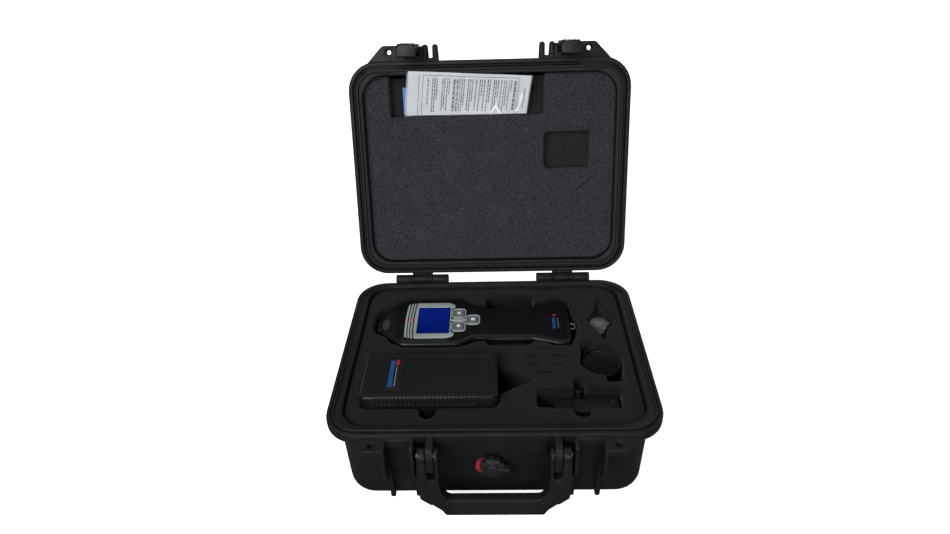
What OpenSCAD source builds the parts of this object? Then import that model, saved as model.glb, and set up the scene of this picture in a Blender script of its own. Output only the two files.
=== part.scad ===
// Portable gas detector kit: a handheld detector with its charging box and
// small accessories, nested in the foam of a hinged, latched hard case.
// +X is to the right, +Y towards the hinges, +Z up.
// The origin is the centre of the case underside.

/* [Case] */
// Width of the case over its rim
case_w = 340; // [338:0.5:342]
// Depth of the case over its rim
case_d = 265.5; // [264:0.5:267]
// Height of the base, from the underside to the rim plane
base_h = 106; // [106:0.5:107]
// Height of the lid above the rim plane
lid_h = 46; // [46:0.5:48]
// Corner radius of the rim in plan
rim_r = 35; // [33:0.5:37]
// Wall thickness of the shells
wall = 4; // [3.5:0.1:4.5]
// Angle between the open lid and its closed place
lid_open = 105.5; // [80:0.5:110]

/* [Hardware] */
// Radius of the hinge pins
hinge_pin_r = 2.5; // [2:0.1:2.8]
// Radius of the padlock holes
padlock_r = 4; // [3:0.25:4.5]
// Radial running clearance of every pivot
run = 0.06; // [0.03:0.01:0.1]
// Radius of the handle pivot pins
handle_pin_r = 2.5; // [2:0.1:3]
// Half length of the handle bar between its bevelled corners
handle_half = 50; // [46:1:52]
// Radius of the pressure valve knob
valve_r = 12.5; // [11:0.5:13]

/* [Detector] */
// Height of the top face of the detector
det_top = 102; // [101.5:0.5:103]
// Height of the underside of the detector
det_bot = 62; // [61:0.5:63]
// Wall thickness of the detector covers
det_wall = 2.5; // [2:0.1:2.6]

/* [Charger] */
// Height of the top face of the charging box
chg_top = 115; // [112:0.5:115]
// Wall thickness of the charging box
chg_wall = 2.5; // [2:0.1:3]
// Number of cooling slots
chg_slots = 26; // [10:1:30]

/* [Foam] */
// Height of the top of the base foam
foam_top = 101.5; // [100:0.5:102]
// Height of the pocket floors
pocket_z = 61.7; // [60:0.1:61.7]

/* [Hidden] */
$fn = 64;

half_w = case_w / 2;
half_d = case_d / 2;
rim_z = base_h;
lid_top = rim_z + lid_h;
root_y = 118;            // distance at which outside hardware is rooted in the walls

// Pivot axes, all along X, with the lid closed
hinge_y = half_d + 7.85;
hinge_z = rim_z - 1.3;
lever_y = -143;
lever_z = rim_z + 13.5;
hook_y = -143.6;
hook_z = rim_z + 3.5;
handle_y = -146.5;
handle_z = rim_z - 13;
lever_pin_r = 2;
hook_pin_r = 1.5;
knuckle_r = 6.4;         // hinge knuckles

valve_x = -1.5;
valve_z = 60;
valve_bore_r = 5.5;

// ---- helpers: blocks and rods are given by their end coordinates ----
module rounded(x0, x1, y0, y1, r) {
    translate([x0 + r, y0]) square([x1 - x0 - 2 * r, y1 - y0]);
    translate([x0, y0 + r]) square([x1 - x0, y1 - y0 - 2 * r]);
    for (x = [x0 + r, x1 - r], y = [y0 + r, y1 - r]) translate([x, y]) circle(r);
}
module slab(x0, x1, y0, y1, r, z0, z1)
    translate([0, 0, z0]) linear_extrude(z1 - z0) rounded(x0, x1, y0, y1, r);
module box(x0, x1, y0, y1, z0, z1) translate([x0, y0, z0]) cube([x1 - x0, y1 - y0, z1 - z0]);
module rod_x(x0, x1, y, z, r) translate([x0, y, z]) rotate([0, 90, 0]) cylinder(h = x1 - x0, r = r);
module rod_y(x, y0, y1, z, r) translate([x, y1, z]) rotate([90, 0, 0]) cylinder(h = y1 - y0, r = r);
module rod_z(x, y, z0, z1, r) translate([x, y, z0]) cylinder(h = z1 - z0, r = r);
module rods_z(places, z0, z1, r) for (p = places) rod_z(p[0], p[1], z0, z1, r);
// a plate lying in the YZ plane, drawn as [y, z] points
module plate_yz(x0, x1)
    translate([x0, 0, 0]) rotate([90, 0, 90]) linear_extrude(x1 - x0) children();
// a plate lying in the XZ plane, drawn as [x, z] points
module plate_xz(y0, y1)
    translate([0, y1, 0]) rotate([90, 0, 0]) linear_extrude(y1 - y0) children();
module left() mirror([1, 0, 0]) children();
module both() {
    children();
    left() children();
}
// places a part drawn in the closed lid into the open lid
module in_open_lid()
    translate([0, hinge_y, hinge_z]) rotate([-lid_open, 0, 0])
        translate([0, -hinge_y, -hinge_z]) children();
// half outline followed by its mirror image across the Y axis
function mirrored(half) =
    concat(half, [for (i = [len(half) - 1:-1:0]) [-half[i][0], half[i][1]]]);

// ---- case ----
latch_outer_x = [105.5, 109.5];
padlock_x = 119;
padlock_y = -143;
seal_insets = [5.4, 8.4];

// disc of radius r whose edge is rounded by edge_r
module edge_disc(x, y, z, r, edge_r) translate([x, y, z]) rotate_extrude($fn = 40)
    polygon(concat([[0, -edge_r]],
        [for (a = [-90:11.25:90]) [r - edge_r + edge_r * cos(a), edge_r * sin(a)]],
        [[0, edge_r]]));
// hull from four round-edged discs at the closed end to four thin cylinders at the rim
module tub(corner_x, disc_ys, disc_z, disc_r, edge_r, rim_ys, ring_z, ring_r) hull() {
    for (x = [-corner_x, corner_x], y = disc_ys) edge_disc(x, y, disc_z, disc_r, edge_r);
    for (x = [-corner_x, corner_x], y = rim_ys)
        translate([x, y, ring_z]) cylinder(h = 1, r = ring_r, $fn = 40);
}
module outer_tub(disc_z, edge_r, ring_z)
    tub(126, [-91, 95], disc_z, 30, edge_r, [-91.5, 95.5], ring_z, 32.5);
module cavity_tub(ys, disc_z, edge_r, ring_z, ring_r)
    tub(127, ys, disc_z, 26, edge_r, ys, ring_z, ring_r);
module rim_slab(inset, z0, z1)
    slab(-half_w + inset, half_w - inset, -half_d + inset, half_d - inset, rim_r - inset, z0, z1);
module rim_ring(inset0, inset1, z0, z1) difference() {
    rim_slab(inset0, z0, z1);
    rim_slab(inset1, z0 - 1, z1 + 1);
}
module padlock_ear(z0) translate([0, 0, z0]) linear_extrude(8)
    polygon([[105.6, -126], [105.6, -150.7], [126.7, -150.7], [145, -131.5], [150, -120],
        [120, -118]]);
module padlock_hole(z0, z1) rod_z(padlock_x, padlock_y, z0, z1, padlock_r);
module base_knuckle(x0, x1) {
    rod_x(x0, x1, hinge_y, hinge_z, knuckle_r);
    box(x0, x1, root_y, hinge_y, hinge_z - knuckle_r, hinge_z);
    plate_yz(x0, x1) polygon([[root_y, hinge_z - 5], [hinge_y + knuckle_r, hinge_z - 1],
        [hinge_y + knuckle_r, hinge_z], [root_y, hinge_z]]);
    // brace down to the back wall
    plate_yz(x0, x1)
        polygon([[root_y, hinge_z], [hinge_y, hinge_z - knuckle_r], [125, 70], [root_y, 70]]);
}
module case_base() color("#26262a") difference() {
    union() {
        outer_tub(disc_z = 19, edge_r = 19, ring_z = rim_z - 7);
        rim_slab(0, rim_z - 8, rim_z);
        slab(-half_w + 4, half_w - 4, -half_d + 4, half_d - 2.5, rim_r - 4, rim_z - 13, rim_z - 8);
        // tongue standing under the seal
        rim_ring(seal_insets[0], seal_insets[1], rim_z - 1, rim_z + 1.6);
        // front pad behind the handle
        slab(-54, 54, -126.2, -110, 2, rim_z - 38, rim_z - 10);
        both() {
            padlock_ear(rim_z - 11);
            // outer and inner latch fins
            plate_yz(latch_outer_x[0], latch_outer_x[1])
                polygon([[-root_y, rim_z - 3], [-151, rim_z - 3], [-152, 69], [-147, 57],
                    [-131, 49], [-130.5, 14], [-127, 9], [-115, 9]]);
            plate_yz(78, 82)
                polygon([[-root_y, rim_z - 3], [-147, rim_z - 3], [-148, 66], [-143, 57],
                    [-130.5, 49], [-130, 14], [-126.5, 9], [-115, 9]]);
            // catch bar between the fins
            box(80, 107, -135.5, -root_y, rim_z - 14, rim_z - 3);
            // handle lug
            plate_yz(58.5, 66) union() {
                polygon([[-root_y, rim_z - 2], [-150, rim_z - 2], [-153, handle_z - 3],
                    [-151, 73], [-146, 69], [-root_y, 60]]);
                translate([handle_y, handle_z]) circle(6.8);
            }
            base_knuckle(57, 77.6);
            base_knuckle(104.4, 125);
        }
        // boss of the pressure valve
        rod_y(valve_x, -127, -115, valve_z, 19);
    }
    cavity_tub(ys = [-92.4, 95.3], disc_z = wall + 15, edge_r = 15,
        ring_z = rim_z + 3, ring_r = 27.5);
    both() {
        padlock_hole(rim_z - 20, rim_z + 5);
        rod_x(50, 72, handle_y, handle_z, handle_pin_r + run);
        rod_x(50, 124, hinge_y, hinge_z, hinge_pin_r);
    }
    rod_y(valve_x, -135, -110, valve_z, 8.5);
    // clearance in front of the rim, over the handle lugs
    both() box(55, 69.5, -160, -half_d, rim_z - 2, rim_z + 4);
}
module lid_hinge_lug() difference() {
    union() {
        rod_x(78, 104, hinge_y, hinge_z, knuckle_r);
        plate_yz(78, 104) polygon([[root_y, rim_z + 0.4], [hinge_y, rim_z + 0.4],
            [hinge_y + knuckle_r, hinge_z], [hinge_y + 5.5, rim_z + 5],
            [hinge_y - 4, rim_z + 8], [root_y, rim_z + 8]]);
    }
    // a notch near each end, between the pin and the rim
    for (x = [80.2, 98.8]) box(x, x + 3, hinge_y - 7.6, hinge_y - 3.6, hinge_z - 8, rim_z + 20);
}
module case_lid() color("#26262a") in_open_lid() difference() {
    union() {
        outer_tub(disc_z = lid_top - 11, edge_r = 11, ring_z = rim_z + 6);
        rim_slab(0, rim_z + 0.1, rim_z + 8);
        rim_slab(4, rim_z + 8, rim_z + 13);
        both() {
            padlock_ear(rim_z + 2.5);
            // outer and inner latch lugs
            plate_yz(latch_outer_x[0], latch_outer_x[1])
                polygon([[-root_y, rim_z + 1], [-150.5, rim_z + 1], [-151, rim_z + 17],
                    [-144, rim_z + 22], [-root_y, rim_z + 34]]);
            plate_yz(78.3, 82.5)
                polygon([[-root_y, rim_z + 1], [-149, rim_z + 1], [-150, rim_z + 17],
                    [-144, rim_z + 22], [-root_y, rim_z + 34]]);
            // web behind the lever
            plate_yz(82, 106)
                polygon([[-root_y, rim_z + 2], [-135, rim_z + 2], [-137, rim_z + 7],
                    [-137, rim_z + 22], [-132, rim_z + 27.5], [-root_y, rim_z + 33]]);
            // fins over the handle
            for (x = [60.5, 72.3]) plate_yz(x, x + 6)
                polygon([[-root_y, rim_z + 1], [-150, rim_z + 1], [-151, rim_z + 9],
                    [-root_y, rim_z + 32]]);
            lid_hinge_lug();
        }
    }
    cavity_tub(ys = [-89.2, 91.2], disc_z = lid_top - wall - 5, edge_r = 5,
        ring_z = rim_z - 4, ring_r = 26.8);
    // seal groove and the step inside it
    rim_ring(4.9, 8.9, rim_z - 1, rim_z + 5);
    rim_ring(10.2, 22, rim_z - 1, rim_z + 3);
    both() {
        padlock_hole(rim_z - 5, rim_z + 20);
        rod_x(70, 110, hinge_y, hinge_z, hinge_pin_r + run);
        rod_x(79.5, 108.6, lever_y, lever_z, lever_pin_r);
    }
}
module lid_seal() color("#17171a") in_open_lid()
    rim_ring(seal_insets[0], seal_insets[1], rim_z + 2.4, rim_z + 4.9);
module hinge_pins() color("#9a9da1") both() rod_x(57.5, 124, hinge_y, hinge_z, hinge_pin_r);

// ---- latches, drawn on the +X side of the closed lid ----
lever_x0 = 83.3;
lever_x1 = 104.7;
cheek_t = 3;
hook_x0 = 87;
hook_x1 = 101;

module lever() difference() {
    union() {
        box(lever_x0, lever_x1, -152.5, -147.5, 74, lever_z);
        rod_x(lever_x0, lever_x1, lever_y - 4.2, lever_z, 5.3);
        rod_x(lever_x0, lever_x1, lever_y, lever_z, 4.9);
        // flared lower end
        plate_yz(lever_x0, lever_x1)
            polygon([[-152.5, 80], [-155.5, 74], [-155.5, 71], [-147.5, 71], [-147.5, 80]]);
        for (x = [lever_x0, lever_x1 - cheek_t]) {
            box(x, x + cheek_t, -148, -139.5, rim_z - 0.5, lever_z);
            plate_yz(x, x + cheek_t)
                polygon([[-148, 78], [-144.5, 90], [-144.5, rim_z], [-148, rim_z]]);
        }
        // two grip ridges across the face
        for (z = [84, 90]) box(85.5, 102.5, -153.3, -152, z, z + 2);
    }
    rod_x(80, 110, lever_y, lever_z, lever_pin_r + run);
    rod_x(80, 110, hook_y, hook_z, hook_pin_r);
}
module hook() difference() {
    union() {
        rod_x(hook_x0, hook_x1, hook_y, hook_z, 3.4);
        box(hook_x0, hook_x1, -147, -143, 84, hook_z);
        plate_yz(hook_x0, hook_x1)
            polygon([[-147, 84], [-139.5, 84], [-138.5, 86], [-138.5, 89.5], [-143, 90.5],
                [-147, 90.5]]);
    }
    rod_x(80, 110, hook_y, hook_z, hook_pin_r + run);
}
module hook_pin() rod_x(83.6, 104.4, hook_y, hook_z, hook_pin_r);
module latch_right_lever() color("#1e1e21") in_open_lid() lever();
module latch_left_lever() color("#1e1e21") in_open_lid() left() lever();
module latch_right_hook() color("#2a2a2e") in_open_lid() hook();
module latch_left_hook() color("#2a2a2e") in_open_lid() left() hook();
module latch_pins() color("#9a9da1") in_open_lid() both()
    rod_x(80, 108.4, lever_y, lever_z, lever_pin_r);
module hook_pin_right() color("#9a9da1") in_open_lid() hook_pin();
module hook_pin_left() color("#9a9da1") in_open_lid() left() hook_pin();

// ---- handle ----
grip_half = 44;
bar_y = [-151.5, -141.5];
bar_z = [9.8, 31.2];
core_y = [-149.2, -144];     // bar core inside the grip
core_z = [13.6, 26.8];
// right half of the frame as [x, z], from the inner edge of the bar round to its underside
handle_outline = [
    [46.5, bar_z[1]], [53.5, 43], [54.5, 54], [54, handle_z + 6],
    [70, handle_z + 6], [74.5, handle_z + 1], [77.5, 60], [76, 34], [65.5, 25.5],
    [63.5, 25.5], [54, 17], [handle_half, bar_z[0]]];

module handle_frame() color("#232327") difference() {
    union() {
        plate_xz(bar_y[0], bar_y[1]) difference() {
            polygon(mirrored(handle_outline));
            // slots around the case lugs
            for (side = [-1, 1]) translate([side * 62.2, 0]) {
                translate([-4.3, 66]) square([8.6, 60]);
                translate([0, 66]) circle(4.3);
            }
        }
        both() {
            rod_x(66.5, 74.3, handle_y, handle_z, 7.4);
            rod_x(54.2, 57.9, handle_y, handle_z, 7.4);
        }
    }
    // thins the bar to its core along the grip
    difference() {
        box(-grip_half, grip_half, -160, -130, 5, 40);
        box(-50, 50, core_y[0], core_y[1], core_z[0], core_z[1]);
    }
    both() rod_x(54, 75.2, handle_y, handle_z, handle_pin_r);
    // recesses in the outer sides of the arms
    both() box(69, 80, -149.5, -143.5, 44, 74);
}
module handle_grip() color("#34343a") plate_yz(-grip_half, grip_half) difference() {
    rounded(bar_y[0], bar_y[1], bar_z[0], bar_z[1], 3);
    translate([core_y[0], core_z[0]]) square([core_y[1] - core_y[0], core_z[1] - core_z[0]]);
}
module handle_pins() color("#9a9da1") both() rod_x(54.4, 75, handle_y, handle_z, handle_pin_r);

// ---- pressure valve ----
module valve_body() color("#b5202c") difference() {
    union() {
        // the flange sits left of centre, so a crescent of it shows beside the knob
        rod_y(valve_x - 6.5, -128.6, -127, valve_z - 2, 11.8);
        rod_y(valve_x, -128, -121, valve_z, 8.5);
    }
    rod_y(valve_x, -132, -118, valve_z, valve_bore_r);
}
module valve_knob() color("#1d1d20") union() {
    rod_y(valve_x, -135.5, -128.8, valve_z, valve_r);
    rod_y(valve_x, -128.9, -122.8, valve_z, valve_bore_r - run);
    // pointer and hub
    translate([valve_x, 0, valve_z]) box(-4, 17.5, -138.5, -130.5, -2.6, 2.6);
    rod_y(valve_x, -138.5, -134, valve_z, 6.5);
    // finger lobes around the rim
    for (a = [30:30:330]) translate([valve_x, 0, valve_z]) rotate([0, a, 0])
        box(valve_r - 1.6, valve_r + 0.9, -135, -129.6, -1.4, 1.4);
}
module valve_membrane() color("#8f959a") rod_y(valve_x, -122.4, -121.2, valve_z, 5.4);

// ---- foams ----
cavity_front = -119.9;   // base cavity at the rim
cavity_back = 122.8;
cavity_side = 154.5;
block_x = 148.5;         // half width of the hidden foam blocks
lid_foam_z = 117;        // lid foam face, closed
// plan of the detector pocket as [x, y]: along the back, then back along the front
detector_pocket = [
    [-143.5, 68], [-138, 79], [-124, 86], [-115.6, 95.8], [-104, 101], [-64, 102],
    [-37, 101.5], [-20, 88], [-8, 86], [46, 86], [60, 90.5], [68, 95.5], [80, 97], [92, 91],
    [99, 66], [103, 51], [96, 25], [90, 8.5], [70, 8], [59, 16], [-5, 18], [-18, 17],
    [-36, 8], [-60, 7], [-104, 8], [-120, 17], [-124, 26], [-139, 34], [-143.5, 46]];

module deep_pockets() {
    polygon(detector_pocket);
    rounded(-8.6, 51, 75, 104.5, 6);
    rounded(-7, 45, 9.1, 40, 5);
    // charging box, its front notch and the pointed relief on its right
    rounded(-139, 6.5, -90.5, -17.8, 9);
    translate([-67.5, -90]) circle(8.5);
    rounded(-76, -59, -105.5, -80, 8);
    polygon([[0, -22], [8, -31.2], [42, -50.2], [9, -69], [0, -75]]);
}
module cap_pocket() {
    translate([cap_x, cap_y]) circle(24);
    translate([106, 5]) circle(8.5);
    translate([99, -8]) square([14, 14]);
    rounded(122, 142, -53, -25, 3);
}
module clip_pocket()
    polygon([[129, 96.8], [136, 76], [147, 56], [134, 34], [129, 13.8], [124, 34], [111, 56],
        [122, 76]]);
module adapter_pocket() {
    rounded(45, 62.5, -90, -65, 3);
    polygon([[60, -72], [60, -66], [86, -61.2], [84, -49.2], [91, -43.2], [97, -50],
        [100, -58], [134, -66], [133, -92.2], [60, -92.2]]);
    rounded(82.5, 99, -104, -85, 6);
}
module cross(gap, r) {
    rounded(50 + gap, 65 - gap, -38.3 + gap, 1.5 - gap, r);
    rounded(37 + gap, 79.5 - gap, -24.5 + gap, -9.8 - gap, r);
}
// cuts a plan upwards from a floor height
module cut_from(floor_z) translate([0, 0, floor_z]) linear_extrude(60) children();
module base_foam() color("#303034") difference() {
    slab(-cavity_side + 1, cavity_side - 1, cavity_front + 1, cavity_back - 1, 26.5,
        pocket_z - 2, foam_top);
    cut_from(pocket_z) deep_pockets();
    cut_from(pocket_z + 16) cap_pocket();
    cut_from(pocket_z + 26) clip_pocket();
    cut_from(pocket_z + 14) adapter_pocket();
    cut_from(foam_top - 30) cross(gap = 0, r = 1);
}
module base_foam_bottom() color("#2b2b2f") {
    slab(-block_x, block_x, cavity_front + 5, cavity_back - 5, 22, wall + 6.5, pocket_z - 2.3);
    slab(-141.5, 141.5, cavity_front + 12, cavity_back - 12, 18, wall + 1, wall + 7);
}
module foam_cross_plug() color("#303034")
    translate([0, 0, foam_top - 29]) linear_extrude(29) cross(gap = 0.6, r = 0.8);
module lid_foam() color("#3a3a3e") in_open_lid()
    translate([0, 0, lid_foam_z]) linear_extrude(14) difference() {
        rounded(-152.4, 152.4, -114.6, 116.6, 25.5);
        // document recess, open at the front edge
        translate([-122.5, -125]) square([187.5, 125 - 65.4]);
        // window with square corners on its right
        rounded(66, 124, -45.2, 1.8, 6);
        translate([90, -45.2]) square([34, 47]);
    }
module lid_foam_backing() color("#333337") in_open_lid()
    slab(-block_x, block_x, -112, 114, 22, lid_foam_z + 14.3, lid_top - wall - 0.6);
module booklet() color("#4f8fd8") in_open_lid()
    box(-106.5, 40, -101, -68.5, lid_foam_z + 9.6, lid_foam_z + 12.6);
// the leaflet and its sleeve lean out of the document recess
module document_place()
    in_open_lid() translate([0, -66.6, lid_foam_z + 7]) rotate([18, 0, 0]) children();
module leaflet() color("#cfd3d6") document_place() box(-97, 47, -50, -0.8, -0.3, 0.3);
module document_sleeve() color("#e6ecef", 0.4) document_place() plate_yz(-106, 49)
    polygon([[-50.5, -1], [0, -1], [0, 1], [-50.5, 1], [-50.5, 0.7], [-0.4, 0.7],
        [-0.4, -0.7], [-50.5, -0.7]]);

// ---- detector ----
det_y = 55.3;            // centre line of the detector head
seam_z = 83.2;           // top of the rear cover
front_z = 84;            // bottom of the front cover, on the gasket
inlet_z = 86;
sensor_z = 80;
bail_x = 90;
bail_z = 96;
bail_r = 0.9;
pump_y = 38;
tube_x = -82;            // cross run of the sample tube
led = [-98.4, det_y + 0.8];
keys = [[-40.7, det_y + 12.6], [-40.7, det_y - 12.7], [-23.7, det_y]];
det_screws = [[-108, det_y - 32], [-108, det_y + 32], [76, 21], [76, 84]];

// shapes centred on the head, half_y to each side
module head_rect(x0, x1, half_y, r) rounded(x0, x1, det_y - half_y, det_y + half_y, r);
module head_slab(x0, x1, half_y, r, z0, z1)
    slab(x0, x1, det_y - half_y, det_y + half_y, r, z0, z1);
// head, shoulder, grip, foot and nose, inset by i
module det_plan(i = 0) {
    head_rect(-117 + i, -44, 43.5 - i * 1, 16 - i);
    polygon([[-60, det_y - 43.5 + i], [-38 - 0.4 * i, det_y - 43.5 + i],
        [-22 - 0.4 * i, det_y - 31 + i], [0, 22.5 + i],
        [0, 83.5 - i], [-22 - 0.4 * i, det_y + 30.5 - i],
        [-38 - 0.4 * i, det_y + 43.5 - i], [-60, det_y + 43.5 - i]]);
    rounded(-30, 70, 22.5 + i, 83.5 - i, 3);
    polygon([[48, 22.5 + i], [62, 17 + i], [74, 11.5 + i], [74, 94.5 - i], [62, 88.5 - i],
        [48, 83.5 - i]]);
    rounded(66, 92.5 - i, 11.5 + i, 94.5 - i, 12 - i);
    head_rect(-124 + i, -100, 26 - i, 9 - i);
}
module bezel_plan(grow) difference() {
    head_rect(-104.5 - grow, -45 + grow, 34.5 + grow, 6 + grow);
    translate([-50 + grow, det_y - 23.6 + grow]) square([20, 47.2 - 2 * grow]);
}
module key_block(key, grow, z0, z1)
    slab(key[0] - 6.5 - grow, key[0] + 6.5 + grow, key[1] - 7.3 - grow, key[1] + 7.3 + grow,
        3.2 + grow, z0, z1);
module key_holes() for (key = keys) key_block(key, 0.4, det_top - 5, det_top + 5);
module key_cap(key) key_block(key, 0, det_top - 2.4, det_top + 1.9);
module led_hole() rod_z(led[0], led[1], det_top - 5, det_top + 5, 2.2);
module inlet_rod(x0, x1, r) rod_x(x0, x1, det_y, inlet_z, r);
module front_cover() color("#1b1b1e") difference() {
    union() {
        translate([0, 0, front_z]) linear_extrude(det_top - front_z) det_plan();
        // raised frame around the screen
        head_slab(-109.5, -50.3, 38, 8, det_top - 1, det_top + 0.6);
    }
    // hollow, leaving the screw posts
    difference() {
        translate([0, 0, 80]) linear_extrude(det_top - det_wall - 80) det_plan(det_wall);
        rods_z(det_screws, front_z, det_top - det_wall, 3.6);
    }
    rods_z(det_screws, 80, 94, 1.35);
    head_slab(-92, -50, 27.3, 2, det_top - 5, det_top + 5);
    translate([0, 0, det_top - 0.6]) linear_extrude(6) bezel_plan(0.25);
    key_holes();
    led_hole();
    // mouth of the inlet
    inlet_rod(-130, -112, 14.2);
    // strap bail slot
    box(87.5, 95, 40, 56, 91.5, 100.5);
    rod_y(bail_x, 37, 59, bail_z, bail_r + run);
    // grooves across the grip
    for (x = [6:9:51]) slab(x - 0.8, x + 0.8, 30, 76, 0.7, det_top - 0.7, det_top + 1);
}
module rear_cover() color("#222226") difference() {
    translate([0, 0, det_bot]) linear_extrude(seam_z - det_bot) det_plan();
    difference() {
        translate([0, 0, det_bot + det_wall]) linear_extrude(60) det_plan(det_wall);
        rods_z(det_screws, det_bot, seam_z, 4.2);
    }
    rods_z(det_screws, det_bot - 1, 90, 1.7);
    rods_z(det_screws, det_bot - 1, det_bot + 3, 3.2);
    slab(6, 52, 33, 73, 3, det_bot - 1, det_bot + 5);
    inlet_rod(-130, -112, 14.2);
}
module cover_gasket() color("#3d3d42")
    translate([0, 0, seam_z]) linear_extrude(front_z - seam_z) difference() {
        det_plan(0.4);
        det_plan(2.3);
        // gap at the inlet
        translate([-140, det_y - 15]) square([30, 30]);
    }
module screen_bezel() color("#aab2b2") difference() {
    translate([0, 0, det_top - 0.5]) linear_extrude(1.6) bezel_plan(0);
    head_slab(-90.2, -51.4, 25.6, 1.5, det_top - 3, det_top + 5);
    led_hole();
    // three stripes left of the screen
    for (x = [-101.9, -95.1, -92.4])
        box(x - 0.6, x + 0.6, det_y - 27, det_y + 27, det_top + 0.5, det_top + 3);
}
module display_window() color("#1017c8", 0.8)
    head_slab(-90, -51.6, 25.4, 1.4, det_top - 2.4, det_top + 0.7);
module lcd_module() color("#1d6b45") head_slab(-94.5, -48, 30, 1.5, det_top - 8, det_top - 2.6);
module alarm_led() color("#d85a6e") union() {
    rod_z(led[0], led[1], det_top - 4, det_top + 1.2, 2.1);
    rod_z(led[0], led[1], det_top - 4.6, det_top - 3.9, 2.6);
}
module key_a() color("#55595c") key_cap(keys[0]);
module key_b() color("#55595c") key_cap(keys[1]);
module key_c() color("#55595c") key_cap(keys[2]);
module key_surrounds() color("#b4bbbc") difference() {
    translate([0, 0, det_top + 0.05]) linear_extrude(1.1) {
        rounded(-49.6, -31.8, det_y + 2.4, det_y + 22.8, 5.4);
        rounded(-49.6, -31.8, det_y - 22.9, det_y - 2.5, 5.4);
        head_rect(-33.2, -14.2, 10.3, 5.4);
    }
    key_holes();
}
module keypad_mat() color("#6a6a70") head_slab(-45.5, -13, 24, 3, det_top - 5, det_top - 3.4);
module main_board() color("#1f6e3a") slab(-94, 58, det_y - 28, det_y + 24.8, 2, 90.6, 92.2);
module sensor_cell() color("#c9ccd0") union() {
    rod_x(-109.5, -99, det_y, sensor_z, 9);
    rod_x(-99, -95.5, det_y, sensor_z, 6);
}
module inlet_collar() color("#1a1a1d") difference() {
    union() {
        inlet_rod(-131, -112.5, 14);
        inlet_rod(-112.5, -111, 12.5);
    }
    inlet_rod(-140, -105, 8.5);
    inlet_rod(-140, -124, 10.5);
}
module inlet_lens() color("#c3c8cc", 0.6) union() {
    inlet_rod(-129, -124.2, 10.4);
    // domed outer face
    translate([-129, det_y, inlet_z]) intersection() {
        sphere(10.4);
        translate([-7.5, -12, -12]) cube([8, 24, 24]);
    }
}
module inlet_filter() color("#e9e9e4") inlet_rod(-123.8, -121.4, 8.4);
module sample_pump() color("#44484c") union() {
    slab(-70, -46, 26, 50, 2, 65.5, 84);
    rod_x(-46, -28, pump_y, 75, 8);
}
// runs from the sensor at x0, across, and on to the pump at x1
module tube_path(x0, x1, r) {
    rod_x(x0, tube_x, det_y, sensor_z, r);
    rod_y(tube_x, pump_y, det_y, sensor_z, r);
    rod_x(tube_x, x1, pump_y, sensor_z, r);
}
module sample_tube() color("#9aa4a8") difference() {
    union() {
        tube_path(-95.3, -70.2, 2.5);
        for (y = [det_y, pump_y]) translate([tube_x, y, sensor_z]) sphere(2.5);
    }
    tube_path(-99, -60, 1.4);
}
module buzzer() color("#151517") difference() {
    rod_z(24, 66, 92.4, 98.6, 6.5);
    rod_z(24, 66, 97, 100, 1);
}
module battery_pack() color("#2f5fa8") union() {
    slab(-2, 60, 30, 76, 2, 66, 69);
    for (y = [42, 64]) rod_x(-1, 59, y, 77.6, 9.6);
}
module battery_door() color("#1f1f22") slab(6.3, 51.7, 33.3, 72.7, 2.8, det_bot, det_bot + 2.4);
// screws entered from below: recessed heads, shanks up to tip_z
module screws(places, bottom, tip_z) {
    rods_z(places, bottom + 0.3, bottom + 2.8, 2.9);
    rods_z(places, bottom + 2.7, tip_z, 1.3);
}
module cover_screws() color("#b9bcc0") screws(det_screws, det_bot, 93);
module strap_bail() color("#c4c8cb") union() {
    for (y = [[37.5, 42.2], [53.8, 58.5]]) rod_y(bail_x, y[0], y[1], bail_z, bail_r);
    for (y = [42, 52.4]) box(89.2, 98, y, y + 1.6, bail_z - 0.8, bail_z + 0.8);
    box(96.4, 98, 42, 54, bail_z - 0.8, bail_z + 0.8);
}

// ---- charging box ----
chg_bot = 62;
chg_screws = [for (x = [-127, -3], y = [-81, -27.5]) [x, y]];
slot_x0 = -124;          // first cooling slot
slot_pitch = 104 / (chg_slots - 1);

module charger_block(inset, r, z0, z1)
    slab(-137.5 + inset, 5 - inset, -89.2 + inset, -19.2 - inset, r, z0, z1);
module charger_top() color("#2b2b30") difference() {
    charger_block(0, 7, 88, chg_top);
    difference() {
        charger_block(chg_wall, 5, 80, chg_top - chg_wall);
        rods_z(chg_screws, 88, chg_top - chg_wall, 3.6);
    }
    rods_z(chg_screws, 80, 98, 1.35);
    // cooling slots along the front
    for (i = [0:chg_slots - 1]) {
        x = slot_x0 + i * slot_pitch;
        box(x - 0.9, x + 0.9, -95, -84, chg_top - 6.5, chg_top - 4);
    }
    // recess of the label and four engraved bars at the right
    slab(-114.2, -97.8, -78.2, -28.8, 1.5, chg_top - 0.6, chg_top + 2);
    for (y = [-59, -55.6, -52.2, -48.8])
        box(-13, -4.5, y - 0.6, y + 0.6, chg_top - 0.5, chg_top + 2);
    // contact socket on the left side
    box(-142, -130, -62, -46, 92, 100);
}
module charger_bottom() color("#26262a") difference() {
    charger_block(0, 7, chg_bot, 87.8);
    difference() {
        charger_block(chg_wall, 5, chg_bot + chg_wall, 100);
        rods_z(chg_screws, chg_bot, 87.8, 4.2);
    }
    rods_z(chg_screws, chg_bot - 2, 100, 1.7);
    rods_z(chg_screws, chg_bot - 2, chg_bot + 3, 3.2);
}
module charger_label() color("#16181c")
    slab(-114, -98, -78, -29, 1.4, chg_top - 0.5, chg_top + 0.1);
module charger_board() color("#1f6e3a") slab(-118, -12, -80, -28, 1.5, 74, 75.6);
module charger_transformer() color("#6b5a3c") union() {
    slab(-50, -20, -72, -36, 2, 75.8, 101);
    slab(-54, -16, -66, -42, 1, 79, 97);
}
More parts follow.
